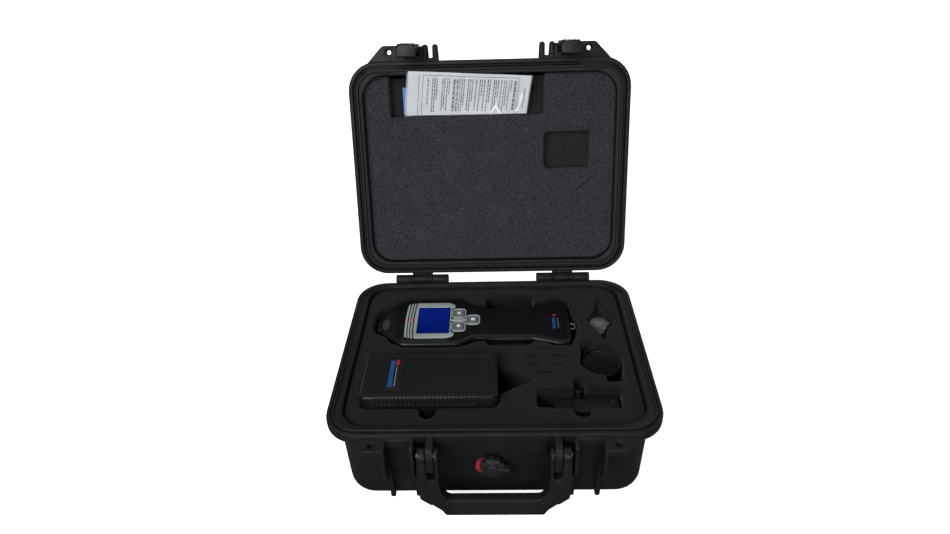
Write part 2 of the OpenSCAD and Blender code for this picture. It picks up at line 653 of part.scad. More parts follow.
module charger_contacts() color("#c9a64a")
    for (y = [-58, -50]) box(-134.5, -119, y - 1.5, y + 1.5, 94.5, 97.5);
module charger_screws() color("#b9bcc0") screws(chg_screws, chg_bot, 97);

// ---- accessories ----
cap_x = 120;
cap_y = -17.7;
clip_x = 128.5;

module cap_rod(z0, z1, r) rod_z(cap_x, cap_y, z0, z1, r);
module calibration_cap() color("#1d1d20") difference() {
    union() {
        cap_rod(78, 94, 21.5);
        cap_rod(93.9, 95.2, 20);
        rod_z(107.2, 3, 84, 93, 4.5);
    }
    cap_rod(76, 91, 19);
    rod_z(107.2, 3, 80, 100, 2.2);
}
module cap_seal() color("#515157") difference() {
    cap_rod(79, 81.4, 18.9);
    cap_rod(70, 90, 16.6);
}
// drawn about y = 50, then stretched and set at y = 61
module belt_clip() color("#8b9195")
    translate([clip_x, 61, 0]) scale([1.18, 1.08, 1]) translate([-clip_x, -50, 0]) difference() {
        union() {
            // base plate, raised pad and bent tongue
            translate([0, 0, 88]) linear_extrude(2)
                polygon([[118, 50], [119.5, 55.6], [123, 59.2], [128.5, 60.8], [134, 59.2],
                    [137.8, 55.6], [139.5, 50], [133.5, 39], [128.5, 27], [123.5, 39]]);
            translate([0, 0, 89.8]) linear_extrude(1.6)
                polygon([[121.5, 49], [123, 55], [128.5, 57.6], [134.2, 55], [136, 49],
                    [131, 44], [126, 44]]);
            plate_yz(clip_x - 4, clip_x + 4)
                polygon([[44, 91], [50, 94.5], [58, 92.2], [58, 91], [50, 93], [44, 89.8]]);
        }
        rod_z(clip_x, 35, 80, 100, 1.5);
    }
module hose_adapter() color("#232326") difference() {
    union() {
        slab(63.5, 84, -89.5, -70, 3, 79, 91);
        slab(83, 131, -90, -68.5, 3, 79, 94);
        rod_z(91, -53, 78, 90, 5);
        box(88, 94, -70, -50, 80, 86);
    }
    rod_x(110, 140, -80, 86, 4);
    rod_z(91, -53, 84, 100, 2.5);
}

case_base();
case_lid();
lid_seal();
hinge_pins();
latch_left_lever();
latch_right_lever();
latch_left_hook();
latch_right_hook();
latch_pins();
hook_pin_left();
hook_pin_right();
handle_frame();
handle_grip();
handle_pins();
valve_body();
valve_knob();
valve_membrane();
base_foam();
base_foam_bottom();
foam_cross_plug();
lid_foam();
lid_foam_backing();
leaflet();
document_sleeve();
booklet();
front_cover();
rear_cover();
cover_gasket();
screen_bezel();
display_window();
lcd_module();
alarm_led();
key_a();
key_b();
key_c();
key_surrounds();
keypad_mat();
main_board();
sensor_cell();
inlet_collar();
inlet_lens();
inlet_filter();
sample_pump();
sample_tube();
buzzer();
battery_pack();
battery_door();
cover_screws();
strap_bail();
charger_top();
charger_bottom();
charger_label();
charger_board();
charger_transformer();
charger_contacts();
charger_screws();
calibration_cap();
cap_seal();
belt_clip();
hose_adapter();
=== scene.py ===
"""An open carrying case with a gas detector, its charging box and accessories in cut foam.

Pieces are drawn in millimetres, with x across the case, y from the latches (-y) to the
hinge (+y) and z up. Pieces of the lid are drawn with the lid closed, then turned open about
the hinge. The detector lies face up with its nose towards -x.
"""
import functools
import math
import bpy
import bmesh
import numpy as np
from mathutils import Matrix, Vector, kdtree, noise
from mathutils.geometry import delaunay_2d_cdt, tessellate_polygon


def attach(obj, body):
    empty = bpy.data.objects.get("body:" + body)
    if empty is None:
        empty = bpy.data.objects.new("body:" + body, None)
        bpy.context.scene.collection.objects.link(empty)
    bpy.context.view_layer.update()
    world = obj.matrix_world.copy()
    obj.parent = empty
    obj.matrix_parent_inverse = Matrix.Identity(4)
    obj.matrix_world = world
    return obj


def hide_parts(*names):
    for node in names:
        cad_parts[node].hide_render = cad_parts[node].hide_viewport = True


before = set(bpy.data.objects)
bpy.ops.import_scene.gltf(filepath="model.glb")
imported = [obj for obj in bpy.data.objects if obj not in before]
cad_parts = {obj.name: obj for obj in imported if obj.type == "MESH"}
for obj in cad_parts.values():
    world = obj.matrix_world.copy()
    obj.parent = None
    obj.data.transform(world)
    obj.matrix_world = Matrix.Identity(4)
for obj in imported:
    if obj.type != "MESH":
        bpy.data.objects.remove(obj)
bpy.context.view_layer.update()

MM = 0.001
DEG = math.pi / 180

# Driving dimensions, in mm
HALF_X, HALF_Y = 170.0, 132.75       # outer rim of the case
RIM_CORNER = 35                      # corner radius of that rim
HINGE_Y, HINGE_Z = 140.6, 104.7      # hinge axis
LID_TURN = -105.5 * DEG              # from closed to open
LID_FACE = 117.0                     # face of the lid foam, lid closed
FOAM_TOP, FOAM_FLOOR = 101.5, 61.7   # face and deepest pocket of the base foam
HANDLE_PIVOT = (-146.5, 93.0)        # y, z
VALVE_X, VALVE_Z = -1.5, 60.0
DETECTOR_Y = 55.3                    # long axis of the detector
DETECTOR_TOP = 102.0
SCREEN_X = -70.8
LEAFLET_TILT = 18 * DEG


# ---------------------------------------------------------------- placing
def rotated_yz(points, angle):
    """A copy of the points, with the cosine and sine of the angle."""
    out = np.array(points, float)
    cos, sin = math.cos(angle), math.sin(angle)
    return out, cos, sin


def open_lid(points):
    """Moves points drawn in the closed lid into the open lid."""
    out, cos, sin = rotated_yz(points, LID_TURN)
    y, z = out[..., 1] - HINGE_Y, out[..., 2] - HINGE_Z
    out[..., 1] = HINGE_Y + cos * y - sin * z
    out[..., 2] = HINGE_Z + sin * y + cos * z
    return out


def on_leaflet(points):
    """Moves points drawn flat on the leaflet's plane into the closed lid."""
    flat = np.array(points, float)
    out, cos, sin = rotated_yz(points, LEAFLET_TILT)
    out[..., 0] = flat[..., 0] - 4.7 + 6.8 * (-flat[..., 1] / 52.0)
    out[..., 1] = -66.6 + cos * flat[..., 1] - sin * flat[..., 2]
    out[..., 2] = LID_FACE + 7 + sin * flat[..., 1] + cos * flat[..., 2]
    return out


def mirrored(mesh):
    """The mesh reflected in x = 0."""
    verts = np.array(mesh[0], float)
    verts[..., 0] *= -1
    return verts, mesh[1]


def both(*meshes):
    """Each mesh followed by its mirror image."""
    return [m for mesh in meshes for m in (mesh, mirrored(mesh))]


# ---------------------------------------------------------------- outlines
def steps(start, end, n):
    return [start + (end - start) * k / n for k in range(n + 1)]


def sincos(degrees):
    return [(math.sin(a * DEG), math.cos(a * DEG)) for a in degrees]


def full_turn(n):
    return [2 * math.pi * i / n for i in range(n)]


def arc(cx, cy, r, start, end, n):
    return [(cx + r * c, cy + r * s) for s, c in sincos(steps(start, end, n))]


def rect(x0, x1, y0, y1, r, n=6):
    """Rectangle with corner radius r, n steps a corner."""
    r = min(r, (x1 - x0) / 2 - 1e-4, (y1 - y0) / 2 - 1e-4)
    return (arc(x1 - r, y0 + r, r, -90, 0, n) + arc(x1 - r, y1 - r, r, 0, 90, n)
            + arc(x0 + r, y1 - r, r, 90, 180, n) + arc(x0 + r, y0 + r, r, 180, 270, n))


def circle(cx, cy, r, n):
    return [(cx + r * math.cos(a), cy + r * math.sin(a)) for a in full_turn(n)]


def area(outline):
    p = np.array(outline, float)
    q = np.roll(p, -1, 0)
    return 0.5 * float(np.sum(p[:, 0] * q[:, 1] - q[:, 0] * p[:, 1]))


def ccw(outline):
    outline = [tuple(p) for p in outline]
    return outline if area(outline) > 0 else outline[::-1]


def rounded(points, radius, n=4):
    """The polygon with its corners rounded to one radius, or to one radius a corner."""
    points = [np.array(p, float) for p in points]
    count = len(points)
    radii = radius if isinstance(radius, (list, tuple)) else [radius] * count
    out = []
    for i in range(count):
        corner = points[i]
        back, ahead = points[i - 1] - corner, points[(i + 1) % count] - corner
        back_len, ahead_len = np.linalg.norm(back), np.linalg.norm(ahead)
        back, ahead = back / back_len, ahead / ahead_len
        angle = math.acos(max(-1.0, min(1.0, float(back @ ahead))))
        if radii[i] <= 0 or angle > 176 * DEG or angle < 4 * DEG:
            out.append(tuple(corner))
            continue
        tangent = min(radii[i] / math.tan(angle / 2), 0.46 * back_len, 0.46 * ahead_len)
        r = tangent * math.tan(angle / 2)
        halfway = (back + ahead) / np.linalg.norm(back + ahead)
        centre = corner + halfway * (r / math.sin(angle / 2))
        start = corner + back * tangent - centre
        end = corner + ahead * tangent - centre
        a0, a1 = math.atan2(start[1], start[0]), math.atan2(end[1], end[0])
        turn = (a1 - a0 + math.pi) % (2 * math.pi) - math.pi
        k = max(1, min(n, int(abs(turn) / (8 * DEG)) + 1))
        out += [(centre[0] + r * math.cos(a0 + turn * j / k),
                 centre[1] + r * math.sin(a0 + turn * j / k)) for j in range(k + 1)]
    clean = [out[0]]
    for p in out[1:]:
        if math.dist(p, clean[-1]) > 1e-4:
            clean.append(p)
    if math.dist(clean[0], clean[-1]) < 1e-4:
        clean.pop()
    return clean


def inset(outline, distance):
    """Counter-clockwise outline moved inwards."""
    p = np.array(outline, float)
    edge = np.roll(p, -1, 0) - p
    edge /= np.maximum(np.linalg.norm(edge, axis=1), 1e-9)[:, None]
    normal = np.stack([-edge[:, 1], edge[:, 0]], 1)
    mitre = normal + np.roll(normal, 1, 0)
    scale = np.maximum((mitre * mitre).sum(1) / 2, 0.35)
    return p + distance * mitre / scale[:, None]


def resample(outline, space, smooth=0):
    """The closed outline with evenly spaced points, smoothed a number of times."""
    p = np.array(outline, float)
    loop = np.vstack([p, p[:1]])
    lengths = np.linalg.norm(np.diff(loop, axis=0), axis=1)
    along = np.concatenate([[0], np.cumsum(lengths)])
    n = max(12, int(round(along[-1] / space)))
    t = np.arange(n) * along[-1] / n
    out = np.stack([np.interp(t, along, loop[:, 0]), np.interp(t, along, loop[:, 1])], 1)
    for _ in range(smooth):
        out = out + 0.5 * ((np.roll(out, 1, 0) + np.roll(out, -1, 0)) / 2 - out)
    return ccw(out)


# ---------------------------------------------------------------- meshes
# A mesh is a pair: vertices in mm, and faces as tuples of vertex indices.
class Part:
    """Meshes gathered before they become one Blender mesh."""

    def __init__(self, *meshes):
        self.verts, self.faces, self.mats = [], [], []
        self.add(*meshes)

    def add(self, *meshes, mat=0):
        for verts, faces in meshes:
            start = len(self.verts)
            self.verts += [tuple(map(float, p)) for p in verts]
            self.faces += [tuple(int(i) + start for i in face) for face in faces]
            self.mats += [mat] * len(faces)
        return self


def along_axis(verts, axis):
    """Turns vertices drawn along z so that they are drawn along the axis."""
    order = {"x": [2, 0, 1], "y": [0, 2, 1], "z": [0, 1, 2]}[axis]
    return np.array(verts, float)[:, order]


def rim_rows(z0, z1, low, high, seg):
    """(inset, height) rows of a side wall, its low and high rims rounded to these radii."""
    rows = []
    for k in range(seg + 1):
        a = (1 - k / seg) * math.pi / 2
        rows.append((low * (1 - math.cos(a)), z0 + low * (1 - math.sin(a))))
    for k in range(seg + 1):
        a = k / seg * math.pi / 2
        rows.append((high * (1 - math.cos(a)), z1 - high * (1 - math.sin(a))))
    distinct = [rows[0]]
    for row in rows[1:]:
        if abs(row[0] - distinct[-1][0]) + abs(row[1] - distinct[-1][1]) > 1e-6:
            distinct.append(row)
    return distinct


def solid(outline, z0, z1, high, axis="z", holes=(), seg=3, low=None):
    """A plate from z0 to z1 with real holes. high and low are the radii of its rims."""
    rows = rim_rows(z0, z1, high if low is None else low, high, seg)
    loops = [ccw(outline)] + [ccw(h) for h in holes]
    verts, faces, bottoms, tops = [], [], [], []
    for number, loop in enumerate(loops):
        sign = 1 if number == 0 else -1
        n, base = len(loop), len(verts)
        for depth, z in rows:
            moved = inset(loop, depth * sign) if abs(depth) > 1e-9 else np.array(loop, float)
            verts += [(x, y, z) for x, y in moved]
        for a in range(base, base + (len(rows) - 1) * n, n):
            for i in range(n):
                j = (i + 1) % n
                faces.append((a + i, a + j, a + n + j, a + n + i))
        last = base + (len(rows) - 1) * n
        bottoms.append(list(range(base, base + n)))
        tops.append(list(range(last, last + n)))
    for caps, turn in ((bottoms, -1), (tops, 1)):
        if len(loops) == 1:
            faces.append(tuple(caps[0][::turn]))
        else:
            ids = [i for cap in caps for i in cap]
            flat = [[Vector((verts[i][0], verts[i][1], 0)) for i in cap] for cap in caps]
            faces += [tuple(ids[t] for t in tri[::turn]) for tri in tessellate_polygon(flat)]
    return along_axis(verts, axis), faces


def side_plate(points, x0, x1, high, radius):
    """A plate across x, from a (y, z) polygon."""
    return solid(rounded(points, radius), x0, x1, high, "x")


def block(x0, x1, y0, y1, z0, z1, r, high):
    return solid(rect(x0, x1, y0, y1, r, 4), z0, z1, high)


def lathe(profile, axis, centre, n=48, ends="caps"):
    """A turned shape from (radius, height) pairs.

    centre is the two other coordinates. ends is "caps", "open", or "ring" to join the last
    circle to the first.
    """
    verts = [(r * math.cos(a), r * math.sin(a), h) for r, h in profile for a in full_turn(n)]
    last = (len(profile) - 1) * n
    faces = []
    for a in range(0, last, n):
        for i in range(n):
            j = (i + 1) % n
            faces.append((a + i, a + j, a + n + j, a + n + i))
    if ends == "caps":
        faces.append(tuple(range(n))[::-1])
        faces.append(tuple(last + i for i in range(n)))
    elif ends == "ring":
        faces += [(last + (i + 1) % n, last + i, i, (i + 1) % n) for i in range(n)]
    verts = np.array(verts)
    verts[:, 0] += centre[0]
    verts[:, 1] += centre[1]
    return along_axis(verts, axis), faces


def cylinder(axis, centre, r, z0, z1, rim, n):
    return lathe([(r - depth, z) for depth, z in rim_rows(z0, z1, rim, rim, 3)], axis, centre, n)


def loft(rings, loop=False):
    """Skins rings of equal length in order, with end caps or closed on itself."""
    verts = [p for ring in rings for p in ring]
    n, count = len(rings[0]), len(rings)
    faces = []
    for k in range(count if loop else count - 1):
        a, b = k * n, ((k + 1) % count) * n
        for i in range(n):
            j = (i + 1) % n
            faces.append((a + i, a + j, b + j, b + i))
    if not loop:
        faces.append(tuple(range(n))[::-1])
        faces.append(tuple((count - 1) * n + i for i in range(n)))
    return np.array(verts, float), faces


def wire(path, r, n):
    """A round wire along a path, n sides round."""
    path = np.array(path, float)
    tangent = np.roll(path, -1, 0) - np.roll(path, 1, 0)
    tangent[0], tangent[-1] = path[1] - path[0], path[-1] - path[-2]
    tangent /= np.linalg.norm(tangent, axis=1)[:, None]
    reference = np.array([0.0, 0, 1]) if abs(tangent[0][2]) < 0.9 else np.array([1.0, 0, 0])
    side = np.cross(tangent[0], reference)
    side /= np.linalg.norm(side)
    rings = []
    for point, along in zip(path, tangent):
        side = side - along * (side @ along)
        side /= np.linalg.norm(side)
        other = np.cross(along, side)
        rings.append([point + r * (math.cos(a) * side + math.sin(a) * other)
                      for a in full_turn(n)])
    return loft(rings)


def make(name, part, mats, body, replaced, lid=False, sharp=38):
    """Turns a Part into an object on a body, in metres.

    Shading is smooth and breaks at edges steeper than sharp degrees.
    """
    verts = np.array(part.verts, float)
    if lid:
        verts = open_lid(verts)
    mesh = bpy.data.meshes.new(name)
    mesh.from_pydata((verts * MM).tolist(), [], part.faces)
    mesh.validate()
    # validate can drop a bad face, after which the list no longer lines up
    if len(mesh.polygons) == len(part.mats):
        mesh.polygons.foreach_set("material_index", part.mats)
    bm = bmesh.new()
    bm.from_mesh(mesh)
    bmesh.ops.remove_doubles(bm, verts=bm.verts, dist=1e-7)
    bmesh.ops.recalc_face_normals(bm, faces=bm.faces)
    bm.to_mesh(mesh)
    bm.free()
    mesh.shade_smooth()
    mesh.set_sharp_from_angle(angle=sharp * DEG)
    for mat in mats if isinstance(mats, list) else [mats]:
        mesh.materials.append(mat)
    ob = bpy.data.objects.new(name, mesh)
    bpy.context.scene.collection.objects.link(ob)
    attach(ob, body)
    if replaced:
        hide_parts(replaced)


# ---------------------------------------------------------------- distance fields
# A field gives each point's distance to a shape, negative inside it.
def poly_field(outline, grow=0.0):
    outline = np.array(outline, float)

    def field(points):
        nearest = np.full(len(points), 1e18)
        sign = np.ones(len(points))
        for i in range(len(outline)):
            a, b = outline[i], outline[i - 1]
            edge = b - a
            rel = points - a
            t = np.clip((rel @ edge) / max(edge @ edge, 1e-12), 0, 1)
            gap = rel - np.outer(t, edge)
            nearest = np.minimum(nearest, (gap * gap).sum(1))
            above = points[:, 1] >= a[1]
            below = points[:, 1] < b[1]
            left = edge[0] * rel[:, 1] > edge[1] * rel[:, 0]
            flip = (above & below & left) | (~above & ~below & ~left)
            sign = np.where(flip, -sign, sign)
        return sign * np.sqrt(nearest) - grow
    return field


def rect_field(x0, x1, y0, y1, r):
    centre = np.array([(x0 + x1) / 2, (y0 + y1) / 2])
    half = np.array([(x1 - x0) / 2 - r, (y1 - y0) / 2 - r])

    def field(points):
        q = np.abs(points - centre) - half
        return np.linalg.norm(np.maximum(q, 0), axis=1) + np.minimum(q.max(1), 0) - r
    return field


def circle_field(x, y, r):
    return lambda points: np.hypot(points[:, 0] - x, points[:, 1] - y) - r


def union(*fields):
    return lambda points: functools.reduce(np.minimum, [field(points) for field in fields])


# Marching squares: inside corners as bits -> (from side, to side) of each crossing
CROSSINGS = {1: [(3, 0)], 2: [(0, 1)], 3: [(3, 1)], 4: [(1, 2)], 5: [(3, 2), (1, 0)],
             6: [(0, 2)], 7: [(3, 2)], 8: [(2, 3)], 9: [(2, 0)], 10: [(2, 1), (0, 3)],
             11: [(2, 1)], 12: [(1, 3)], 13: [(1, 0)], 14: [(0, 3)]}


def contours(field, x0, x1, y0, y1, step, space, smooth):
    """Closed outlines where the field is zero, evenly spaced and gently smoothed."""
    nx, ny = int((x1 - x0) / step) + 2, int((y1 - y0) / step) + 2
    xs, ys = np.meshgrid(x0 + np.arange(nx) * step, y0 + np.arange(ny) * step, indexing="ij")
    dist = field(np.stack([xs.ravel(), ys.ravel()], 1)).reshape(nx, ny)
    dist = np.where(np.abs(dist) < 1e-7, 1e-7, dist)
    inside = dist < 0

    def crossing(edge):
        i, j, upright = edge
        a = dist[i, j]
        if upright:
            t = a / (a - dist[i, j + 1])
            return (x0 + i * step, y0 + (j + t) * step)
        t = a / (a - dist[i + 1, j])
        return (x0 + (i + t) * step, y0 + j * step)

    code = (inside[:-1, :-1] * 1 + inside[1:, :-1] * 2 + inside[1:, 1:] * 4
            + inside[:-1, 1:] * 8)
    link = {}
    for i, j in np.argwhere((code > 0) & (code < 15)):
        i, j = int(i), int(j)
        sides = [(i, j, 0), (i + 1, j, 1), (i, j + 1, 0), (i, j, 1)]
        for a, b in CROSSINGS[int(code[i, j])]:
            link[sides[a]] = sides[b]
    loops = []
    while link:
        loop, edge = [], next(iter(link))
        while edge in link:
            loop.append(crossing(edge))
            edge = link.pop(edge)
        if len(loop) > 12:
            loops.append(resample(loop, space, smooth))
    return loops


# ---------------------------------------------------------------- foam and mouldings
def ripple(x, y, z):
    return noise.noise(Vector((x, y, z)))


def edge_drop(d, r):
    """How far a rim rounded to r has dropped at distance d from the edge."""
    return r - math.sqrt(max(0.0, r * r - (r - d) ** 2)) if d < r else 0.0


def smoothstep(t):
    t = max(0.0, min(1.0, t))
    return t * t * (3 - 2 * t)


def plan_mesh(outer, holes, grid, rows):
    """Triangles of an outline and its holes, with rows of points that follow the outlines.

    Returns points, their distance to the nearest outline, triangles, and the region each
    triangle is in: 0 for solid, 1 and up for the holes.
    """
    loops = [ccw(outer)] + [ccw(h) for h in holes]
    points, edges, faces = [], [], []
    for loop in loops:
        k, n = len(points), len(loop)
        points += [tuple(p) for p in loop]
        edges += [(k + i, k + (i + 1) % n) for i in range(n)]
        faces.append(list(range(k, k + n)))
    near = kdtree.KDTree(len(points) * 2)
    count = 0
    for loop in loops:
        for i, a in enumerate(loop):
            b = loop[(i + 1) % len(loop)]
            near.insert((a[0], a[1], 0), count)
            near.insert(((a[0] + b[0]) / 2, (a[1] + b[1]) / 2, 0), count + 1)
            count += 2
    near.balance()
    extra = []
    for number, loop in enumerate(loops):
        for d in rows:
            for q in inset(loop, d if number == 0 else -d):
                if near.find((q[0], q[1], 0))[2] > 0.9 * d:
                    extra.append((float(q[0]), float(q[1])))
    lo, hi = np.array(points).min(0), np.array(points).max(0)
    clear = max(rows) + grid * 0.55
    for i in range(int((hi[0] - lo[0]) / grid) + 1):
        for j in range(int((hi[1] - lo[1]) / grid) + 1):
            q = (lo[0] + (i + 0.5 * (j % 2)) * grid, lo[1] + j * grid)
            if near.find((q[0], q[1], 0))[2] > clear:
                extra.append(q)
    result = delaunay_2d_cdt([Vector(p) for p in points + extra], edges, faces, 0, 1e-6)
    plan = np.array([(v[0], v[1]) for v in result[0]])
    tris, regions = [], []
    for tri, origin in zip(result[2], result[5]):
        if not origin:
            continue
        tri = list(tri)
        tris.append(tri[::-1] if area(plan[tri]) < 0 else tri)
        regions.append(max(origin))
    dist = np.array([near.find((v[0], v[1], 0))[2] for v in plan])
    dist[dist < 0.02] = 0
    return plan, dist, tris, np.array(regions)


def foam_body(outer, pockets, top, bottom, roll, grid, wave, sag, seed,
              rows=(0.5, 1.2, 2.2, 4.0), wall_rows=4):
    """Cut foam: a soft-edged slab with pockets [(outline, floor height)].

    roll is the edge radius, wave and sag are the heights of its unevenness.
    """
    plan, dist, tris, regions = plan_mesh(outer, [p for p, _ in pockets], grid, rows)
    verts, faces, index, columns = [], [], {}, {}

    def top_z(x, y, d):
        z = top - edge_drop(d, roll)
        z -= sag * math.exp(-d / 5.0)
        return z + wave * ripple(x / 34 + seed, y / 34, seed)

    def vert(i, level):
        if (i, level) not in index:
            x, y = plan[i]
            if level == "top":
                z = top_z(x, y, dist[i])
            elif level == "bottom":
                z = bottom
            else:
                z = pockets[level][1] + 0.25 * ripple(x / 9, y / 9, 3 + seed)
            index[i, level] = len(verts)
            verts.append((x, y, z))
        return index[i, level]

    def column(i, upper, lower):
        """Vertices of one wall line from the upper level down to the lower one."""
        key = (i, upper, lower)
        if key not in columns:
            a, b = vert(i, upper), vert(i, lower)
            za, zb = verts[a][2], verts[b][2]
            x, y = plan[i]
            line = [a]
            for q in range(1, wall_rows):
                z = za + (zb - za) * (q / wall_rows)
                shift = 0.22 * ripple(x / 5, y / 5, z / 7)
                verts.append((x + shift, y - shift, z))
                line.append(len(verts) - 1)
            columns[key] = line + [b]
        return columns[key]

    level_of = {}
    for tri, region in zip(tris, regions):
        level = "top" if region == 0 else region - 1
        faces.append(tuple(vert(i, level) for i in tri))
        faces.append(tuple(vert(i, "bottom") for i in tri[::-1]))
        for edge in zip(tri, tri[1:] + tri[:1]):
            level_of.setdefault(edge, level)
    for (a, b), level in level_of.items():
        other = level_of.get((b, a))
        if other is None:
            other = "bottom"
        elif other == "top" or level == other:
            continue
        elif level != "top" and pockets[level][1] <= pockets[other][1]:
            continue
        left, right = column(a, level, other), column(b, level, other)
        for q in range(len(left) - 1):
            faces.append((left[q], left[q + 1], right[q + 1], right[q]))
    return verts, faces


def moulding(outline, top_z, bottom_z, grid, rows=(0.35, 0.9, 1.7, 2.8, 4.2, 6.0, 8.5)):
    """A closed moulding over a plan.

    Its top and bottom are heights as functions of x, y and distance from the edge.
    """
    plan, dist, tris, _ = plan_mesh(outline, [], grid, rows)
    n = len(plan)
    verts = [(p[0], p[1], height(p[0], p[1], d))
             for height in (top_z, bottom_z) for p, d in zip(plan, dist)]
    faces, edges = [], {}
    for tri in tris:
        faces.append(tuple(tri))
        faces.append(tuple(i + n for i in tri[::-1]))
        for edge in zip(tri, tri[1:] + tri[:1]):
            edges[edge] = True
    for a, b in edges:
        if (b, a) not in edges:
            faces.append((a, a + n, b + n, b))
    used = sorted({i for face in faces for i in face})
    renumber = {i: k for k, i in enumerate(used)}
    return [verts[i] for i in used], [tuple(renumber[i] for i in face) for face in faces]


# ---------------------------------------------------------------- shader kit
class Shader:
    """A material and short ways to wire its nodes."""

    def __init__(self, name):
        self.material = bpy.data.materials.new(name)
        self.material.use_nodes = True
        self.tree = self.material.node_tree
        self.tree.nodes.clear()
        self.output = self.new("ShaderNodeOutputMaterial")
        self.coords = self.new("ShaderNodeTexCoord").outputs["Object"]

    def new(self, kind, **settings):
        node = self.tree.nodes.new(kind)
        for key, value in settings.items():
            setattr(node, key, value)
        return node

    def feed(self, socket, value):
        """Links a socket or sets a value. A colour of three numbers gets full alpha."""
        if isinstance(value, bpy.types.NodeSocket):
            self.tree.links.new(value, socket)
        elif isinstance(value, tuple) and len(value) == 3 and socket.type == "RGBA":
            socket.default_value = value + (1.0,)
        else:
            socket.default_value = value

    def put(self, node, **inputs):
        for key, value in inputs.items():
            self.feed(node.inputs[key.replace("_", " ")], value)
        return node

    def noise(self, scale, detail=3.0, rough=0.5, vec=None, dist=0.0):
        node = self.new("ShaderNodeTexNoise")
        self.put(node, Scale=scale, Detail=detail, Roughness=rough, Distortion=dist,
                 Vector=vec or self.coords)
        return node.outputs["Fac"]

    def cells(self, scale):
        node = self.new("ShaderNodeTexVoronoi", feature="F1")
        return self.put(node, Scale=scale, Vector=self.coords).outputs["Distance"]

    def stretched(self, **mapping):
        node = self.new("ShaderNodeMapping")
        return self.put(node, Vector=self.coords, **mapping).outputs[0]

    def remap(self, value, span, to=(0.0, 1.0)):
        """Maps the span of the value to another range, and clamps it."""
        node = self.new("ShaderNodeMapRange")
        self.put(node, Value=value, From_Min=span[0], From_Max=span[1],
                 To_Min=to[0], To_Max=to[1])
        return node.outputs["Result"]

    def mix(self, factor, a, b):
        node = self.new("ShaderNodeMix", data_type="RGBA")
        for i, value in ((0, factor), (6, a), (7, b)):
            self.feed(node.inputs[i], value)
        return node.outputs[2]

    def math(self, operation, a, b=0.0, c=0.0):
        node = self.new("ShaderNodeMath", operation=operation)
        for socket, value in zip(node.inputs, (a, b, c)):
            self.feed(socket, value)
        return node.outputs[0]

    def bump(self, height, strength, dist, normal=None):
        node = self.new("ShaderNodeBump")
        self.put(node, Height=height, Strength=strength, Distance=dist)
        if normal is not None:
            self.put(node, Normal=normal)
        return node.outputs["Normal"]

    def finish(self, **inputs):
        """Adds the surface shader and returns the material."""
        surface = self.put(self.new("ShaderNodeBsdfPrincipled"), **inputs)
        self.tree.links.new(surface.outputs[0], self.output.inputs["Surface"])
        return self.material


MIDDLE = (0.3, 0.7)   # the span in which most noise values lie


def dim(colour, k):
    return tuple(min(1.0, x * k) for x in colour)


# ---------------------------------------------------------------- kinds of material
def moulded(name, colour, rough=0.5, spec=0.25, grain=1500, depth=0.00006, strength=0.35,
            var=0.22, rub_and_sheen=0.0, metal=0.0, scuff=0.25):
    """Plastic, rubber or paint: cloudy colour, grain, uneven gloss, edges lightened partly as
    rubbing and partly as a painted highlight, scuffs.

    grain is the noise scale, depth and strength its relief, var the colour spread.
    """
    s = Shader(name)
    cloud = s.noise(26, detail=4, rough=0.6)
    fine = s.noise(grain, detail=2, rough=0.6)
    base = s.mix(s.remap(cloud, span=MIDDLE), dim(colour, 1 - var), dim(colour, 1 + var))
    base = s.mix(s.remap(fine, span=(0.35, 0.75), to=(0, 0.45)), base, dim(colour, 1.5))
    streak = s.stretched(Scale=(18.0, 150.0, 60.0), Rotation=(0.2, 0.3, 0.7))
    scuffs = s.remap(s.noise(6, detail=5, rough=0.75, vec=streak), span=(0.66, 0.74),
                     to=(0, scuff))
    base = s.mix(scuffs, base, dim(colour, 2.2))
    normal = None
    if rub_and_sheen:
        # edges show where the bevelled normal leaves the true one; they are lightened partly as
        # rubbing and partly as a painted highlight
        bevel = s.put(s.new("ShaderNodeBevel", samples=3), Radius=0.0009)
        normal = bevel.outputs[0]
        geometry = s.new("ShaderNodeNewGeometry")
        dot = s.new("ShaderNodeVectorMath", operation="DOT_PRODUCT")
        s.feed(dot.inputs[0], normal)
        s.feed(dot.inputs[1], geometry.outputs["Normal"])
        edge = s.remap(dot.outputs["Value"], span=(0.985, 0.86))
        patchy = s.remap(s.noise(140, detail=3, rough=0.6), span=(0.35, 0.65), to=(0.25, rub_and_sheen))
        base = s.mix(s.math("MULTIPLY", edge, patchy), base, dim(colour, 3.4))
    gloss = s.remap(s.noise(70, detail=4, rough=0.65), span=MIDDLE,
                    to=(rough - 0.08, rough + 0.1))
    gloss = s.math("ADD", gloss, s.math("MULTIPLY", scuffs, 0.25))
    relief = s.bump(fine, strength=strength, dist=depth, normal=normal)
    relief = s.bump(cloud, strength=0.12, dist=0.0006, normal=relief)
    return s.finish(Base_Color=base, Roughness=gloss, Specular_IOR_Level=spec, Metallic=metal,
                    Coat_Roughness=0.25, Normal=relief)


def foam_mat(name, dark, light, scale):
    """Closed-cell foam: small pores, speckled light and dark, quite matte."""
    s = Shader(name)
    small = s.cells(scale * 1.6)
    large = s.cells(scale * 0.75)
    fine = s.noise(scale * 1.9, detail=3, rough=0.7)
    cloud = s.noise(34, detail=4, rough=0.6)
    pore = s.math("ADD", s.math("MULTIPLY", small, 0.6), s.math("MULTIPLY", fine, 0.7))
    base = s.mix(s.remap(pore, span=(0.46, 0.80)), dark, light)
    base = s.mix(s.remap(large, span=(0.06, 0.22), to=(0.5, 0.0)), base, dim(dark, 0.5))
    base = s.mix(s.remap(cloud, span=MIDDLE, to=(0.0, 0.32)), base, dim(dark, 0.8))
    relief = s.bump(pore, strength=0.75, dist=0.0006)
    relief = s.bump(cloud, strength=0.25, dist=0.0015, normal=relief)
    return s.finish(Base_Color=base, Roughness=s.remap(fine, span=MIDDLE, to=(0.82, 0.98)),
                    Specular_IOR_Level=0.16, Normal=relief, Sheen_Weight=0.06,
                    Sheen_Roughness=0.6)


